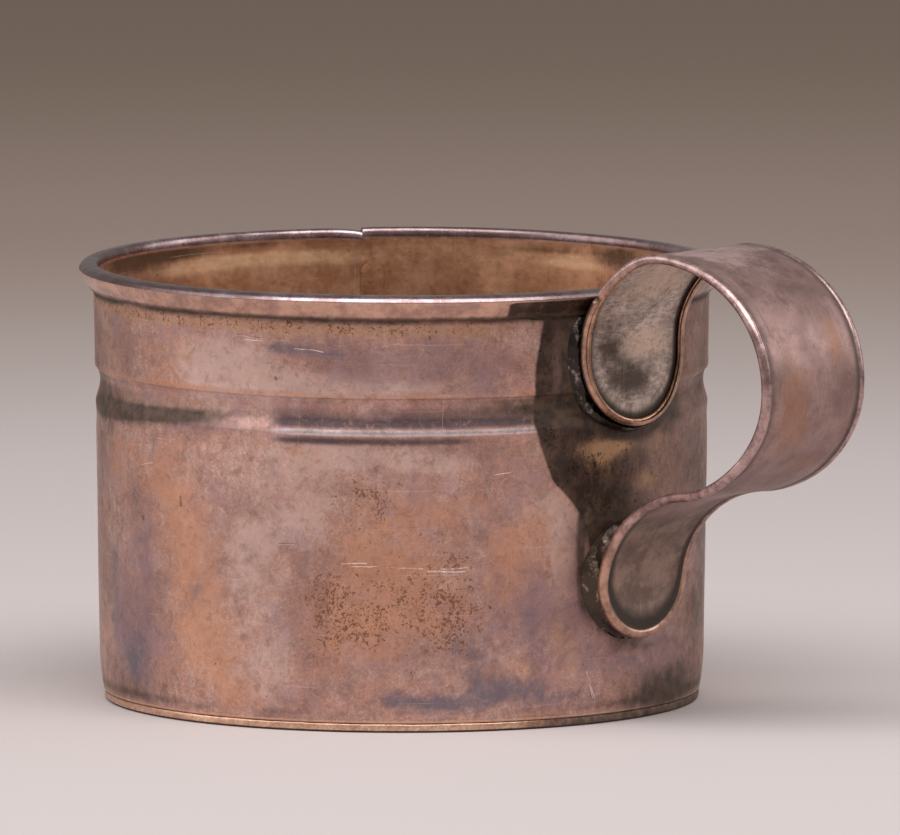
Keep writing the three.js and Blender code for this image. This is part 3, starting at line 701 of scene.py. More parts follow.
def outboard_of(y, z, centre, radius):
    """How far a place lies outside a tongue's edge: straight sides above centre, round below."""
    return np.hypot(y, np.maximum(centre - z, 0)) - radius


def painted(patches, azimuth, height):
    """How strongly the patches cover each place of the wall."""
    covered = np.zeros(np.broadcast(azimuth, height).shape)
    for centre, level, half_width, half_height, strength in patches:
        turned = (azimuth - centre + 180) % 360 - 180
        round_off = np.radians(turned) * FOOT_RADIUS
        away = np.hypot(round_off / half_width, (height - level) / half_height)
        covered = covered + strength * np.exp(-0.8 * away ** 2)
    return np.minimum(covered, 1)


# The left edge of the painted shadow and reflection beside the handle: height, azimuth.
HANDLE_SHADOW_EDGE = (
    (24, -10), (27, -10.8), (29.8, -12.8), (32, -15.5), (34.2, -18.6), (38, -20.6), (42, -22.4),
    (50, -22.4), (56.4, -20.8), (57, -28.5),
)


def handle_shadow(azimuth, height):
    """The painted shadow and reflection of the handle on the wall, under and beside it: where
    it is, and how strong. It has a sharp left edge and a lighter strip beside the upper
    tongue, and fades down and to the right."""
    level, edge = zip(*HANDLE_SHADOW_EDGE)
    reach = np.clip((azimuth - np.interp(height, level, edge)) / 3 + 0.5, 0, 1)
    strength = lerp(0.93, 0.5, smooth(azimuth, -6, 12)) * (1 - smooth(azimuth, 20, 55))
    lighter = painted(((-17.9, 50, 0.6, 5, 0.32),), azimuth, height)
    present = reach * (1 - smooth(azimuth, 40, 56)) * smooth(height, 19, 26)
    return present, np.maximum(strength - lighter, 0)


def body_radius(z):
    """The wall's outside: a straight taper, a channel with a faint hollow below it and a faint
    swell above it, and a curled foot."""
    z = np.asarray(z, float)
    down = np.clip((CHANNEL_HIGH - z) / (CHANNEL_HIGH - CHANNEL_LOW), 0, 1)
    channel = CHANNEL_DEPTH * np.sin(np.pi * down ** 0.75) ** (0.75 + 0.5 * down)
    hollow = 0.1 * ridge(z, 39.3, 1.3)
    swell = 0.05 * ridge(z, 46.7, 0.5)
    curl = CURL_DEPTH * np.clip(1 - z / CURL_HEIGHT, 0, 1) ** 2
    return FOOT_RADIUS + WALL_TAPER * z - channel - hollow + swell - curl


MOUTH = float(body_radius(SKIRT_LOW_Z))
TUCK = BASE_RADIUS - BASE_EDGE_SHEET - GAP


def wall_outline():
    """The wall's section as radius, height, inside share and rim share, once round."""
    crease_z = RIM_TOP_Z - CREASE_BELOW_TOP
    outside = spread(1.5, (CURL_HEIGHT, 0.36), (37, 0.85), (41, 0.25), (46.4, 0.12), (48, 0.3),
                     (55.5, 0.8), (SKIRT_LOW_Z, 0.3))
    tuck = [[TUCK, WALL_BOTTOM], [TUCK + 0.02, 1.15], [TUCK + 0.22, 1.22], [BASE_RADIUS - 0.12, 1.25],
            [BASE_RADIUS + 0.02, 1.32]]
    wall = np.stack((body_radius(outside), outside), 1)
    hollow = [
        [MOUTH, 58.4], [MOUTH, RIM_TOP_Z - 0.9], [MOUTH + 0.2, RIM_TOP_Z - 0.45],
        [RIM_RADIUS - 0.65, crease_z - 0.25], [MOUTH + 0.5, 57.8], [MOUTH + 0.24, 57.05],
    ]
    lip = curve((MOUTH + 0.24, 57.05), (MOUTH + 0.26, 56.84), (MOUTH + 0.5, 56.8),
                (MOUTH + 0.64, 57.05), 6)
    skirt = curve((MOUTH + 0.64, 57.05), (MOUTH + 1.05, 57.9), (RIM_RADIUS - 0.12, 58.8),
                  (RIM_RADIUS - 0.03, crease_z - 0.1), 14)
    crease = [[RIM_RADIUS, crease_z - 0.03], [RIM_RADIUS - 0.02, crease_z + 0.04]]
    bevel = [RIM_RADIUS - 0.22, crease_z + 0.34]
    above_crease = [[RIM_RADIUS - 0.08, crease_z + 0.12], [RIM_RADIUS - 0.15, crease_z + 0.23], bevel]
    top = (RIM_RADIUS - 1.85, RIM_TOP_Z)
    crown = np.concatenate((above_crease, curve(bevel, (RIM_RADIUS - 0.5, crease_z + 0.74),
                                                (RIM_RADIUS - 1.1, RIM_TOP_Z), top, 12)))
    shoulder = curve(top, (RIM_RADIUS - 2.35, RIM_TOP_Z),
                     (MOUTH - SHEET, RIM_TOP_Z - 0.3), (MOUTH - SHEET, RIM_TOP_Z - 1.15), 10)
    down = spread(RIM_TOP_Z - 1.8, (46.4, 0.9), (41, 0.3), (CURL_HEIGHT, 1.0),
                  (JOGGLE_TOP + SHEET, 0.5))
    bowl = np.stack((body_radius(down) - SHEET, down), 1)
    end = [[TUCK - SHEET, JOGGLE_TOP - 0.1], [TUCK - SHEET, WALL_BOTTOM]]
    parts = (
        (tuck, 0, 0), (wall, 0, 0), (hollow, 0, 0), (lip, 0, 0.7), (skirt, 0, 0.76), (crease, 0, 1),
        (crown, 0, 1), (shoulder, 0.5, 1), (bowl, 1, 0), (end, 1, 0),
    )
    rows = []
    for points, inside, rim in parts:
        rows += [[radius, height, inside, rim] for radius, height in np.asarray(points, float)]
    return np.array(rows)


# How many degrees past the lap seam the rim steps down.
NOTCH_PAST_SEAM = 1.9


def seam_azimuths():
    """Azimuths once round from the lap seam, closer together beside it and beside the handle."""
    near = np.array([0.02, 0.12, 0.25, 0.45, 0.75, 1.2, 1.8])
    handle_side = 360 - SEAM_AZIMUTH
    notch = NOTCH_PAST_SEAM + np.array([0.02, 0.12, 0.3, 0.6])
    between = spread(3.2, (handle_side - 32, 1.35), (handle_side + 12, 0.72), (357.4, 1.35))
    return SEAM_AZIMUTH + np.concatenate((near, notch, between, 360 - near[::-1]))


def wall_dents(azimuth, height):
    """Radial error of the hand-worked wall, and its step at the lap seam."""
    on_wall = round_about(MEAN_RADIUS, azimuth, height)
    free = smooth(height, 2.5, 9) * lerp(1, 0.25, smooth(height, 55, 59))
    dents = 0.09 * soft_noise(on_wall, 17, 3) + 0.035 * soft_noise(on_wall, 6.5, 4) - 0.06
    past_seam = (azimuth - SEAM_AZIMUTH) % 360
    step = 0.2 * np.exp(-past_seam / 2.2) * between(height, 2, 4, 56.5, 58.5)
    return dents * free + step


def build_wall():
    outline = wall_outline()
    azimuth = seam_azimuths()[None, :]
    radius, height, inside, rim = (outline[:, k][:, None] for k in range(4))
    past_seam = (azimuth - SEAM_AZIMUTH) % 360
    at_rim = smooth(height, 56, 60)
    unevenness = soft_noise(round_about(LIP_RADIUS, azimuth, 0 * height), 24, 9) - 1
    past_notch = past_seam - NOTCH_PAST_SEAM
    sunk = np.where(past_notch > 0, 0.5 * np.exp(-past_notch / 3), 0.05 * np.exp(past_notch / 1.2))
    level = height + at_rim * (0.09 * unevenness - sunk)
    turned = radius + wall_dents(azimuth, height)
    turned = np.minimum(turned, RIM_RADIUS - 0.03 * (1 + unevenness))
    points = round_about(turned, azimuth, level)

    outside = (1 - inside) * (rim < 0.5)
    turned_azimuth = (azimuth + 180) % 360 - 180
    # Painted shadow under the rim roll, with soot, uneven round the mouth.
    uneven_darkening = 0.8 + 0.35 * soft_noise(round_about(LIP_RADIUS, azimuth, 0 * height), 7, 11)
    under_rim = smooth(height, 55.5, 56.8) * uneven_darkening
    channel_dirt_and_shade = 0.2 * ridge(height, 45.5, 0.3) + 0.25 * ridge(height, 44, 1.1)
    foot_darkening = 0.35 * ridge(height, 2.6, 0.7)
    inner_darkening = inside * (0.45 * ridge(height, 56.5, 0.9) + 0.8 * ridge(height, 2, 1.5)
                           + 0.3 * ridge(height, 44, 1.5))
    beside = (MEAN_RADIUS * np.sin(np.radians(azimuth)), height)
    facing = np.cos(np.radians(azimuth)) > 0
    from_upper = outboard_of(*beside, UPPER_TIP[1] + UPPER_HALF_WIDTH, UPPER_HALF_WIDTH)
    from_lower = outboard_of(*beside, LOWER_TIP[1] + LOWER_HALF_WIDTH, LOWER_HALF_WIDTH)
    solder_halo = facing * (0.8 * ridge(from_upper, 1.9, 0.9) * (height < 57)
                            + 0.6 * ridge(from_lower, 0.9, 0.9) * (1 - smooth(height, 24, 30)))
    outer_dirt_and_shade = under_rim + channel_dirt_and_shade + foot_darkening + solder_halo + painted(DIRT_AND_SHADE, azimuth, height)
    grime_and_shade = outside * outer_dirt_and_shade + inner_darkening
    # Darker along the lower edge of the rim skirt, where it turns in: painted shade.
    grime_and_shade = np.maximum(grime_and_shade, 0.9 * (1 - inside) * ridge(height, 57.0, 0.5))
    # Across the front only, the channel has painted dark reflections and a painted highlight.
    front = between(turned_azimuth, -76, -69, -26, -17)
    front = front * (0.85 + 0.3 * soft_noise(round_about(MEAN_RADIUS, azimuth, height), 5, 12))
    dark_reflection_bands = front * (ridge(height, 42.55, 0.72) + 0.42 * ridge(height, 43.7, 1.2)
                      + ridge(height, 40.15, 0.55) * (1 - smooth(turned_azimuth, -42, -26)))
    # Painted highlight on the channel's lower shoulder, which is also polished.
    polish_and_highlight = 1.35 * front * ridge(height, 41.32, 0.4)
    arc = np.radians(past_seam) * FOOT_RADIUS
    band = np.exp(-((height - 55.6) / 1.2) ** 4) * (1 - 0.6 * smooth(turned_azimuth, -36, -24))
    # A bright orange line along the channel's upper edge: wear, with a painted highlight.
    worn_edge_highlight = 0.7 * ridge(height, 46.5, 0.4)
    shadowed, shadow_strength = handle_shadow(turned_azimuth, height)
    left_side = (shadowed > 0) & (turned_azimuth < -5)
    # Painted highlight along the left edge of the handle shadow, below about 36 mm.
    shadow_edge_highlight = ridge(shadowed, 0.12, 0.22) * left_side * (1 - smooth(height, 33, 36))
    fields = {
        "inside": inside,
        "rim": rim,
        "warm": outside * np.minimum(painted(WARM, azimuth, height) + worn_edge_highlight, 1),
        "pale": outside * painted(PALE, azimuth, height),
        "mauve": outside * painted(MAUVE, azimuth, height),
        "blue": outside * painted(BLUE, azimuth, height),
        "gold": outside * band * 0.8,
        "golden": outside * painted(GOLDEN, azimuth, height),
        # Painted shade on the rim's crown: at the front left, at the back and beside the handle.
        "rim_shade": between(-turned_azimuth, 62, 100, 150, 175)
        + 0.7 * between(turned_azimuth, 60, 90, 126, 142)
        + 0.55 * between(turned_azimuth, -42, -27, 20, 40),
        "dark_reflection_bands": outside * dark_reflection_bands,
        "polish_and_highlight": outside * polish_and_highlight,
        "foot": outside * (1 - smooth(height, 1.3, 1.9)),
        "deep": inside * (1 - smooth(height, 42, 55)),
        "painted_inner_highlight": inside * painted(INNER_HIGHLIGHTS, azimuth, height),
        "burnt": inside * painted(BURNT, azimuth, height),
        "pitted": outside * np.maximum(painted(PITTED, azimuth, height), 0.75 * band),
        "shade": (1 - inside) * shadowed * (1 - smooth(height, 59, 59.7)),
        "shadow_strength": (1 - inside) * shadow_strength,
        "painted_edge_highlight": outside * shadow_edge_highlight,
        "grime_and_shade": np.clip(grime_and_shade, 0, 1),
        "flat": np.stack(np.broadcast_arrays(arc, height, 0 * arc), -1),
    }
    return solid("mug_wall", points, "wall", wall_finish(), fields, loop=True)


def build_base():
    """The pan: a flat bottom with a turned-up edge, thin and ragged where it has worn."""
    azimuth = np.linspace(0, 360, 320, endpoint=False)[None, :]
    corner = 0.45
    turn = np.linspace(-math.pi / 2, 0, 8)[1:]
    inner = BASE_RADIUS - BASE_EDGE_SHEET
    bottom = [[r, 0, 1, 0] for r in spread(0.0, (36, 1.5), (BASE_RADIUS - corner, 0.6))]
    bend = [[BASE_RADIUS - corner + corner * math.cos(a), corner + corner * math.sin(a), 0, 0]
            for a in turn]
    edge = [[BASE_RADIUS, 0.75, 0, 0], [BASE_RADIUS, 1.0, 0, 0], [BASE_RADIUS - 0.04, 1.14, 0, 0],
            [BASE_RADIUS - 0.12, 1.22, 0, 0], [inner, 1.22, 0, 0]]
    top = [[r, BASE_SHEET, 0, 1] for r in spread(inner, (38, 0.8), (0, 1.5))]
    outline = np.array(bottom + bend + edge + top)
    radius, height, under, inside = (outline[:, k][:, None] for k in range(4))
    rim_place = round_about(BASE_RADIUS, azimuth, 0 * radius)
    ragged = 0.035 * soft_noise(rim_place, 2.2, 21) + 0.015 * soft_noise(rim_place, 0.8, 22) - 0.04
    on_edge = smooth(height, 0.9, 1.2)
    ring = round_about(radius, azimuth, 0)
    dents = 0.16 * (1 + soft_noise(ring, 14, 23)) * smooth(-radius, -37, -31)
    turned_azimuth = (azimuth + 180) % 360 - 180
    # The handle side and right of the foot, where the painted contact shadow covers the whole edge.
    shadow_side = between(turned_azimuth, -42, -12, 50, 90)
    nicks = 0.05 * np.clip(soft_noise(rim_place, 1.3, 24), 0, 1) * smooth(radius, 39.5, 41)
    points = round_about(radius - nicks, azimuth, height + on_edge * ragged + dents)
    # Darker in the inside corner of the bottom and in a ring underneath.
    corner_darkening = 0.9 * inside * smooth(radius, 36.5, 39)
    ring_dirt = 0.5 * ridge(radius, 38.5, 0.8) * under
    # Painted contact shadow along the bottom bend, where the mug meets the table.
    contact_shadow = np.maximum(1 - smooth(height, 0.15, 0.42), 0.7 * shadow_side)
    fields = {
        "under": under * smooth(-radius, -40.2, -38),
        "inside": inside,
        "grime_and_shade": corner_darkening + ring_dirt + (1 - inside) * smooth(radius, 39.5, 40.6) * contact_shadow,
    }
    return solid("mug_base", points, "base_pan", base_finish(), fields)


def build_base_solder(finish):
    """The bead of solder inside, between the wall and the bottom, thicker and thinner as it ran."""
    azimuth = np.linspace(0, 360, 320, endpoint=False)[None, :]
    outer = BASE_RADIUS - BASE_EDGE_SHEET - GAP - SHEET - SOLDER_GAP
    floor = BASE_SHEET + SOLDER_GAP
    turn = np.linspace(0, math.pi / 2, 9)[:, None]
    place = round_about(outer, azimuth, 0 * turn)
    leg = 1.7 + 0.45 * soft_noise(place, 5, 31) + 0.2 * soft_noise(place, 1.8, 32)
    radius = outer - leg + leg * (1 - np.cos(turn))
    level = floor + leg * (1 - np.sin(np.pi / 2 - turn))
    lumps = 0.1 * soft_noise(round_about(radius, azimuth, level), 1.2, 33) * np.sin(2 * turn)
    skin = round_about(radius + lumps, azimuth, level - lumps)
    heel = round_about(outer, azimuth, floor + 0 * turn[:1])
    points = np.concatenate((heel, skin))
    return solid("base_solder_bead", points, "base_solder", finish, loop=True)


def build_seam_solder(finish):
    """A thin line of solder down the inside of the lap seam."""
    low, high = SEAM_HEIGHTS
    height = spread(low, (high, 0.35))[:, None]
    feather = np.clip(np.minimum(height - low, high - height) / 2, 0, 1)
    across = np.linspace(-1, 1, 15)
    wander = 0.25 * soft_noise(np.stack((0 * height, 0 * height, height), -1), 6, 41)
    width = 1.5 + 0.3 * soft_noise(np.stack((0 * height, 0 * height + 50, height), -1), 3, 42)

    def place(side, thickness):
        radius = body_radius(height) - SHEET - SOLDER_GAP - thickness
        shift = np.degrees((side * feather * width + wander * feather) / 40)
        return round_about(radius, SEAM_AZIMUTH + shift, height)

    back = place(across[None, :], 0)
    side = across[None, 1:-1][:, ::-1]
    rough = 0.7 + 0.3 * soft_noise(place(side, 0), 1.6, 43)
    front = place(side, 0.18 * feather * (1 - side ** 2) * rough)
    points = np.concatenate((back, front), 1)
    return solid("lap_seam_solder", points, "wall_seam_solder", finish)


# ------------------------------------------------------------------ handle

def off(point, direction, distance):
    """The point, moved along direction."""
    return (point[0] + direction[0] * distance, point[1] + direction[1] * distance)


def handle_line():
    """The edge wire's line seen from the side, finely sampled: distance from the upper tip, x, z."""
    up, out = (0, 1), (1, 0)
    points = np.concatenate((
        [UPPER_TIP],
        curve(UPPER_TIP, UPPER_TIP, UPPER_BEND, UPPER_BEND, 60),
        curve(UPPER_BEND, off(UPPER_BEND, up, 6.5), off(CREST, out, -6.9), CREST, 200),
        curve(CREST, off(CREST, out, 10.1), off(OUTERMOST, up, 10.5), OUTERMOST, 200),
        curve(OUTERMOST, off(OUTERMOST, up, -9), off(WAIST, WAIST_DIRECTION, 6.7), WAIST, 200),
        curve(WAIST, off(WAIST, WAIST_DIRECTION, -8.1), off(LOWER_BEND, up, 8.4), LOWER_BEND, 200),
        curve(LOWER_BEND, LOWER_BEND, LOWER_TIP, LOWER_TIP, 40),
    ))
    distance = np.concatenate(([0], np.cumsum(np.hypot(*np.diff(points, axis=0).T))))
    return distance, points


LINE_DISTANCE, LINE_POINTS = handle_line()
LINE_LENGTH = float(LINE_DISTANCE[-1])


def half_width(distance):
    return lerp(LOWER_HALF_WIDTH, UPPER_HALF_WIDTH, smooth(LINE_LENGTH - distance, *WIDENING))


def edge_stations():
    """Stations down one edge of the strap: distance, width, outboard direction, and how far the
    station is round the tip's curve (0 at the tip, 1 on the straight edge)."""
    turn = np.linspace(0, math.pi / 2, 44)
    upper = (UPPER_HALF_WIDTH * (1 - np.cos(turn)), UPPER_HALF_WIDTH * np.sin(turn))
    side = spread(UPPER_HALF_WIDTH, (LINE_LENGTH - LOWER_HALF_WIDTH, 0.33))[1:-1]
    back = turn[::-1]
    lower = (LINE_LENGTH - LOWER_HALF_WIDTH * (1 - np.cos(back)), LOWER_HALF_WIDTH * np.sin(back))
    distance = np.concatenate((upper[0], side, lower[0]))
    width = np.concatenate((upper[1], half_width(side), lower[1]))
    width[[0, -1]] = 0
    tip_share = np.concatenate((turn, np.full(len(side), math.pi / 2), back)) / (math.pi / 2)
    ahead = np.concatenate((distance[1:], distance[-2:-1]))
    behind = np.concatenate((distance[1:2], distance[:-1]))
    ahead_width = np.concatenate((width[1:], -width[-2:-1]))
    behind_width = np.concatenate((-width[1:2], width[:-1]))
    run = np.stack((ahead - behind, ahead_width - behind_width), 1)
    run /= np.linalg.norm(run, axis=1)[:, None]
    return distance, width, np.stack((-run[:, 1], run[:, 0]), 1), tip_share


def handle_points(distance, lateral, slide, lift):
    """Places on the handle. slide runs along the strap and lift towards its outer face."""
    def on_line(where):
        return (np.interp(where, LINE_DISTANCE, part) for part in LINE_POINTS.T)

    sampled = distance + 0 * lateral
    x, z = on_line(sampled)
    reach = 0.3
    before_x, before_z = on_line(np.clip(sampled - reach, 0, LINE_LENGTH))
    after_x, after_z = on_line(np.clip(sampled + reach, 0, LINE_LENGTH))
    run_x, run_z = after_x - before_x, after_z - before_z
    run = np.hypot(run_x, run_z)
    run_x, run_z = run_x / run, run_z / run
    dish = 1 - smooth(sampled, *DISH_END)
    raised = lift + dish * lateral ** 2 / (2 * UPPER_TIP[0])
    return np.stack((x + run_x * slide - run_z * raised, lateral,
                     z + run_z * slide + run_x * raised), -1)


# Nicks in the rolled edges: side (-1 is the edge at -Y), distance from the upper tip, length, depth.
NICKS = (
    (-1, 17.6, 0.7, 0.34), (1, 42.4, 0.6, 0.22), (-1, 70, 1.2, 0.06), (1, 60, 1.4, 0.06),
    (-1, 33, 1.5, 0.05),
)


def strap_ring_half(side, distance, wrap_end):
    """One edge's section at every station, from the web's finger face round the wire to its outer
    face: n outboard, v towards the outer face, and the shares of roll, finger side, and darkening
    by patina and painted shade in the valleys."""
    inner_count, outer_count = 10, 24
    distance = distance[:, None]
    start = math.pi - math.asin(WEB_FINGER_FACE / ROLL_INNER)
    finish = math.pi - math.asin(WEB_OUTER_FACE / ROLL_OUTER)
    inner_share = np.linspace(0, 1, inner_count)[None, :]
    inner = lerp(start, wrap_end[:, None], inner_share)
    inner_radius = ROLL_INNER + 0.09 * inner_share ** 4
    outer = lerp(wrap_end[:, None] + 0.06, finish, np.linspace(0, 1, outer_count)[None, :])
    wear = np.zeros_like(distance)
    for nick_side, place, length, depth in NICKS:
        if nick_side == side:
            wear = wear + depth * np.exp(-((distance - place) / (length * 0.5)) ** 4)
    flank = ridge(outer, 0.3, 1.1)
    radius = ROLL_OUTER - 0.06 - wear * flank
    edge = wrap_end[:, None] - 0.02

    def fixed(*places):
        return np.array([places]) * np.ones_like(distance)

    n = np.hstack((fixed(-WEB_START, -1.6, -0.9), inner_radius * np.cos(inner), 0.6 * np.cos(edge),
                   radius * np.cos(outer), fixed(-0.72, -1.1, -1.6, -WEB_START)))
    v = np.hstack((fixed(*[WEB_FINGER_FACE] * 3), inner_radius * np.sin(inner), 0.6 * np.sin(edge),
                   radius * np.sin(outer), fixed(WEB_OUTER_FACE - 0.03, WEB_OUTER_FACE - 0.02,
                                                 WEB_OUTER_FACE, WEB_OUTER_FACE)))
    roll = np.array([0] * 3 + [0.3] * inner_count + [0.5] + [1] * (outer_count - 1) + [0.7]
                    + [0.1, 0, 0, 0])
    finger = np.array([1] * 3 + [1] * inner_count + [0.5] + [0] * outer_count + [0] * 4)
    valley = np.array([0.1, 0.35, 0.9] + [1.2] * inner_count + [1.0, 0.5] + [0] * (outer_count - 3)
                      + [0.3, 0.8] + [1.0, 0.75, 0.35, 0.12])
    scar = ridge(outer, 0.3, 1.3) * np.minimum(wear / 0.2, 1)
    valley = valley + np.pad(scar, ((0, 0), (3 + inner_count + 1, 4)))
    return n, v, roll, finger, valley


def wrap_ends(side, tip_share):
    """Where the rolled sheet ends round the wire: the near edge stops short and shows the wire."""
    return np.radians(-92 - side * 43 * smooth(tip_share, 0.1, 1.0))


def build_strap():
    distance, width, outboard, tip_share = edge_stations()
    column = distance[:, None]
    halves = {}
    for side in (-1, 1):
        n, v, *shares = strap_ring_half(side, distance, wrap_ends(side, tip_share))
        lateral = width[:, None] + n * outboard[:, 1:2]
        halves[side] = (side * lateral, n * outboard[:, :1], v, *shares)
    inset = width - WEB_START * outboard[:, 1]
    spacing = np.sin(np.linspace(-1, 1, 22)[1:-1] * math.pi / 2)
    web_lateral = inset[:, None] * spacing[None, :]
    web_slide = -WEB_START * outboard[:, :1]
    from_web_edge = np.abs(inset)[:, None] * (1 - np.abs(spacing))[None, :]
    place = np.stack(np.broadcast_arrays(column, web_lateral, 0 * web_lateral), -1)
    buckle = 0.05 * soft_noise(place, 7, 51)
    web_valley = 0.12 * np.exp(-from_web_edge / 1.1)
    parts = (
        halves[-1],
        (web_lateral, web_slide, WEB_OUTER_FACE + buckle, 0, 0, web_valley),
        tuple(np.flip(part, axis=-1) for part in halves[1]),
        (web_lateral[:, ::-1], web_slide, WEB_FINGER_FACE + buckle[:, ::-1], 0, 1,
         0.7 * web_valley[:, ::-1]),
    )
    rows = [np.broadcast_arrays(*part) for part in parts]
    lateral, slide, lift, roll, finger, valley = (np.concatenate(row, 1) for row in zip(*rows))
    points = handle_points(column, lateral, slide, lift)
    along = column + 0 * lateral

    def spot(centre, sideways, half_length, half_breadth):
        return np.exp(-((along - centre) / half_length) ** 2
                      - ((lateral - sideways) / half_breadth) ** 2)

    tongue = np.maximum(1 - smooth(along, 14, 30), smooth(along, LINE_LENGTH - 22, LINE_LENGTH - 8))
    # Darker in the valleys beside the rolls: patina and painted shade; dirt near the lower tip.
    grime_and_shade = valley * (0.62 + 0.38 * tongue + 0.2 * smooth(lateral, 2, 8))
    tip_centre = LINE_LENGTH - LOWER_HALF_WIDTH
    inside_edge = LOWER_HALF_WIDTH - np.hypot(lateral, np.maximum(along - tip_centre, 0))
    tip_dirt = 0.62 * smooth(along, tip_centre - 2, tip_centre + 6) * np.exp(-(inside_edge / 2.0) ** 2)
    grime_and_shade = grime_and_shade + tip_dirt * (1 - roll) * (1 - finger)
    fields = {
        "flat": np.stack((along, lateral, 0 * lateral), -1),
        "roll": roll,
        "finger": finger,
        "grime_and_shade": np.clip(grime_and_shade, 0, 1),
        "loop": 1 - tongue,
        # Painted light on the up-facing crest of the loop and on the lower neck.
        "painted_top_light": 0.9 * spot(32, 0, 4, 9) + 0.4 * spot(38, 0, 6, 9)
        + 0.6 * spot(LINE_LENGTH - 26, 0, 5, 9),
        "warm": 0.9 * spot(62, -4, 9, 4) + 0.6 * spot(54, 5, 6, 3) + 0.5 * spot(72, 3, 6, 3)
        + 0.4 * spot(96, 0, 6, 5),
        # The pale spot at 28 mm is painted light under the arch; the others are pale tone.
        "pale": 1.1 * spot(10.5, 2, 2.2, 5) + 0.7 * spot(19, 0, 4, 8) + 0.5 * spot(5, 5.5, 4, 1.6)
        + 0.9 * spot(28, 0, 7, 9),
        "sooty": 1.2 * spot(4.5, -1.5, 3.4, 4.2) + 0.9 * spot(10, -5.5, 3.6, 2.4)
        + 0.4 * spot(17, 3, 1.5, 3) + 0.3 * spot(24, 5, 3, 3),
        "dull": smooth(along, LINE_LENGTH - 25, LINE_LENGTH - 15) * (1 - finger),
    }
    return solid("strap_handle", points, "handle_strap", strap_finish(), fields)


def build_edge_wire():
    """The wire that runs all round inside the strap's rolled edge. On the near side it fills the
    roll's open seam."""
    distance, width, outboard, tip_share = edge_stations()
    around = np.linspace(0, 2 * math.pi, 12, endpoint=False)[None, :]
    opening = math.radians(-98)

    def rings(side, chosen):
        pressed = 0.26 * (side < 0) * smooth(tip_share[chosen, None], 0.1, 1.0)
        n = EDGE_WIRE_RADIUS * np.cos(around) + pressed * math.cos(opening)
        v = EDGE_WIRE_RADIUS * np.sin(around) + pressed * math.sin(opening)
        lateral = side * (width[chosen, None] + n * outboard[chosen, 1:2])
        return handle_points(distance[chosen, None], lateral, n * outboard[chosen, :1], v)

    there = np.arange(len(distance))
    points = np.concatenate((rings(1, there), rings(-1, there[1:-1][::-1])))
    finish = wire_finish("drawn_brass_wire", bright=srgb(220, 176, 146), dull=srgb(176, 134, 108),
                         dark_tone=srgb(74, 56, 46), rough_range=(0.28, 0.42))
    return solid("edge_wire_loop", points, "handle_edge_wire", finish, loop=True)


def pad(name, replaced, heights, span, top, finish, lumps, seed):
    """A pad of solder on the wall: span gives its half width at a height, before and behind the
    handle, and top the distance of its surface from the axis. It feathers out all round."""
    across = np.linspace(-1, 1, 71)
    z = heights[:, None]
    near_span, far_span = (s[:, None] for s in span(heights))
    y = np.where(across < 0, near_span, far_span) * across
    wall = body_radius(z) + SOLDER_GAP * 0.3
    back = np.sqrt(wall ** 2 - y ** 2)
    place = np.stack(np.broadcast_arrays(back, y, z), -1)
    inner = (1 - across ** 6)[None, :] * np.sin(np.linspace(0, math.pi, len(heights)))[:, None] ** 0.4
    lump = lumps * (0.6 * soft_noise(place, 3.0, seed) + 0.4 * soft_noise(place, 1.1, seed + 1))
    front = np.maximum(top(y, z) + lump * inner, back)
    face = np.stack(np.broadcast_arrays(front, y, z), -1)
    rings = np.concatenate((place, face[:, 1:-1][:, ::-1]), 1)
    rings[[0, -1], :, :] = rings[[0, -1], :1, :]
    return solid(name, rings, replaced, finish)


def rounded(z, centre, low, shoulder, high, closing):
    """A pad's half width as a share of its widest: round below centre, drawn in above shoulder."""
    bowl = np.sqrt(np.maximum(1 - (np.maximum(centre - z, 0) / (centre - low)) ** 2, 0))
    above = np.maximum(z - shoulder, 0) / (high - shoulder)
    drawn_in = np.sqrt(np.maximum(1 - closing * above ** 2, 0))
    return np.minimum(bowl, drawn_in)


def build_upper_solder(finish):
    near_margin, far_margin = 1.9, 1.6
    centre = UPPER_TIP[1] + UPPER_HALF_WIDTH
    low, high = centre - UPPER_HALF_WIDTH - far_margin, 56.7
    shoulder = high - 4.5

    def span(z):
        share = rounded(z, centre, low, shoulder, high, 0.3)
        return (UPPER_HALF_WIDTH + near_margin) * share, (UPPER_HALF_WIDTH + far_margin) * share

    def top(y, z):
        out = outboard_of(y, z, centre, UPPER_HALF_WIDTH)
        margin = np.where(y < 0, near_margin, far_margin)
        under_roll = 1 - smooth(np.abs(out), 0.9, 1.1)
        bead = smooth(out, 0.75, 1.0) * (1 - smooth(out, 1.1, margin))
        under_web = 1 - smooth(out, -1.5, -0.9)
        thickness = 0.16 * under_roll + 0.85 * bead + 0.28 * under_web
        outside = body_radius(z) + SOLDER_GAP + thickness * smooth(high - z, 0, 0.8)
        return np.sqrt(outside ** 2 - y ** 2)

    turn = np.linspace(0, math.pi / 2, 44)
    closing_turn = np.linspace(0, math.pi / 2, 12)
    heights = np.concatenate((centre - (centre - low) * np.cos(turn),
                              spread(centre, (shoulder, 0.25))[1:-1],
                              shoulder + (high - shoulder) * np.sin(closing_turn)))
    return pad("upper_tongue_solder", "solder_upper", heights, span, top, finish, 0.42, 61)


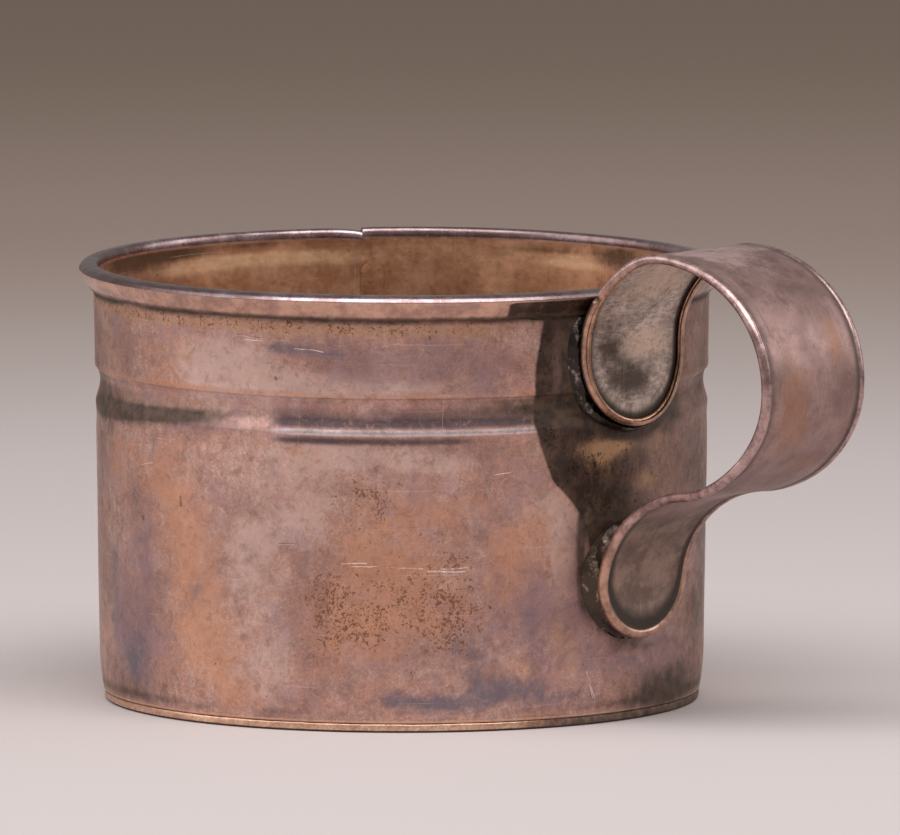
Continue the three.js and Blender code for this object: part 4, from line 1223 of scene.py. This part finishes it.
def build_lower_solder(finish):
    centre = LOWER_TIP[1] + LOWER_HALF_WIDTH
    margin = 0.7
    low, high = centre - LOWER_HALF_WIDTH - 1.0, 28.0
    roll_clear = LOWER_TIP[0] - ROLL_OUTER - 0.12
    web_clear = LOWER_TIP[0] + WEB_FINGER_FACE - 0.15

    def span(z):
        half = (LOWER_HALF_WIDTH + margin) * rounded(z, centre, low, centre, high, 1)
        return half, half

    def top(y, z):
        out = outboard_of(y, z, centre, LOWER_HALF_WIDTH)
        plateau = lerp(web_clear, roll_clear, smooth(out, -2, -1))
        wall = np.sqrt((body_radius(z) + SOLDER_GAP) ** 2 - y ** 2)
        slope = 1 - smooth(out, -0.5, margin)
        place = np.stack(np.broadcast_arrays(0 * y, y, z), -1)
        ripple = 0.14 * np.sin(8.5 * out + 2.4 * soft_noise(place, 3, 77)) * smooth(out, -0.6, -0.1)
        fade = 1 - smooth(z, centre + 1, high)
        return wall + (np.maximum(plateau - wall, 0) * slope + ripple * slope) * fade

    turn = np.linspace(0, math.pi / 2, 44)
    heights = np.concatenate((centre - (centre - low) * np.cos(turn),
                              centre + (high - centre) * np.sin(turn[1:])))
    return pad("lower_tongue_solder", "solder_lower", heights, span, top, finish, 0.5, 71)


# ------------------------------------------------------------------ stage, lights and camera

VIEW_AZIMUTH = 42.0
VIEW_ELEVATION = 6.68
VIEW_DISTANCE = 4.0
VIEW_TARGET = Vector((4.96, 4.46, 38.62)) * MM
LENS = 1160.0
LIGHT_TARGET = Vector((0, 0, 0.03))


def towards(azimuth, elevation):
    """Unit vector from the mug to a viewer at an azimuth (0 is in front, at -Y) and elevation."""
    a, e = math.radians(azimuth), math.radians(elevation)
    return Vector((math.sin(a) * math.cos(e), -math.cos(a) * math.cos(e), math.sin(e)))


def stand(made, target, back, distance):
    """Puts an object into the scene at a distance from target, turned to it."""
    made.location = target + back * distance
    made.rotation_mode = "QUATERNION"
    made.rotation_quaternion = (-back).to_track_quat("-Z", "Y")
    bpy.context.scene.collection.objects.link(made)


def build_camera():
    data = bpy.data.cameras.new("camera")
    data.lens = LENS
    data.sensor_width = 36
    data.clip_start, data.clip_end = 0.5, 40
    camera = bpy.data.objects.new("camera", data)
    stand(camera, VIEW_TARGET, towards(VIEW_AZIMUTH, VIEW_ELEVATION), VIEW_DISTANCE)
    bpy.context.scene.camera = camera


def softbox(name, azimuth, elevation, distance, width, height, power):
    """A rectangular light turned to the mug. Azimuth is measured from the camera, right positive."""
    data = bpy.data.lights.new(name, "AREA")
    data.shape = "RECTANGLE"
    data.size, data.size_y = width, height
    data.energy = power
    light = bpy.data.objects.new(name, data)
    light.visible_camera = False
    stand(light, LIGHT_TARGET, towards(VIEW_AZIMUTH + azimuth, elevation), distance)


def build_floor():
    """A wide pale table whose colour darkens with distance: painted falloff of the light."""
    azimuth = np.linspace(0, 360, 96, endpoint=False)[None, :]
    radius = np.array([0.0, 60, 150, 300, 600, 1200, 3000, 9000])[:, None]
    points = round_about(radius, azimuth, 0 * radius - 0.02).reshape(-1, 3)
    faces = []
    count = azimuth.shape[1]
    for ring in range(len(radius) - 1):
        for k in range(count):
            following = (k + 1) % count
            low, high = ring * count, (ring + 1) * count
            faces.append([low + k, high + k, high + following, low + following])
    mesh = bpy.data.meshes.new("floor")
    mesh.from_pydata((points * MM).tolist(), [], faces)
    f = Finish("pale_table")
    distance = f.vector("DISTANCE", f.scaled(f.place, (1, 1, 0)), (0, 0, 0))
    near = f.rise(distance, 60, 420)
    colour = f.mix(near, srgb(190, 181, 180), srgb(181, 171, 170))
    # Painted falloff of the light: the table darker further back.
    colour = f.mix(f.rise(distance, 260, 600), colour, srgb(146, 129, 120))
    colour = f.mix(f.rise(distance, 560, 900), colour, srgb(126, 110, 98))
    f.shader.inputs["Specular IOR Level"].default_value = 0.15
    f.shader.inputs["Roughness"].default_value = 0.85
    f.feed(f.shader.inputs["Base Color"], colour)
    mesh.materials.append(f.material)
    floor = bpy.data.objects.new("floor", mesh)
    bpy.context.scene.collection.objects.link(floor)


def build_lights():
    world = bpy.data.worlds.new("studio")
    world.use_nodes = True
    background = world.node_tree.nodes["Background"]
    background.inputs["Color"].default_value = (0.50, 0.47, 0.45, 1)
    background.inputs["Strength"].default_value = 0.6
    bpy.context.scene.world = world
    softbox("overhead_softbox", azimuth=4, elevation=60, distance=1.25, width=2.0, height=0.9, power=23)
    softbox("left_softbox", azimuth=-82, elevation=26, distance=1.3, width=1.1, height=1.0, power=5.5)
    softbox("right_softbox", azimuth=98, elevation=24, distance=1.4, width=0.8, height=0.8, power=3.8)
    bpy.context.scene.view_settings.view_transform = "Standard"


# ------------------------------------------------------------------ everything together

build_camera()
build_lights()
build_floor()
build_wall()
build_base()
build_base_solder(solder_finish("brown_corner_solder", srgb(112, 80, 60), srgb(150, 112, 88), 0.3))
build_seam_solder(solder_finish("brown_seam_solder", srgb(182, 130, 97), srgb(210, 160, 126), 0.1))
build_strap()
build_edge_wire()
# On the handle's solder the lighter worn tone is worn metal and also painted glints.
handle_solder = solder_finish("black_handle_solder", srgb(52, 44, 40), srgb(168, 152, 146), gloss=0.18)
build_upper_solder(handle_solder)
lower_solder = solder_finish("brown_handle_solder", srgb(74, 61, 52), srgb(184, 160, 140), gloss=0.18)
build_lower_solder(lower_solder)
iron = wire_finish("rusty_iron_wire", bright=srgb(120, 104, 92), dull=srgb(86, 66, 54),
                   dark_tone=srgb(64, 36, 24), rough_range=(0.45, 0.7))
rim_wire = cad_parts["rim_wire"]
rim_wire.data.materials.clear()
rim_wire.data.materials.append(iron)
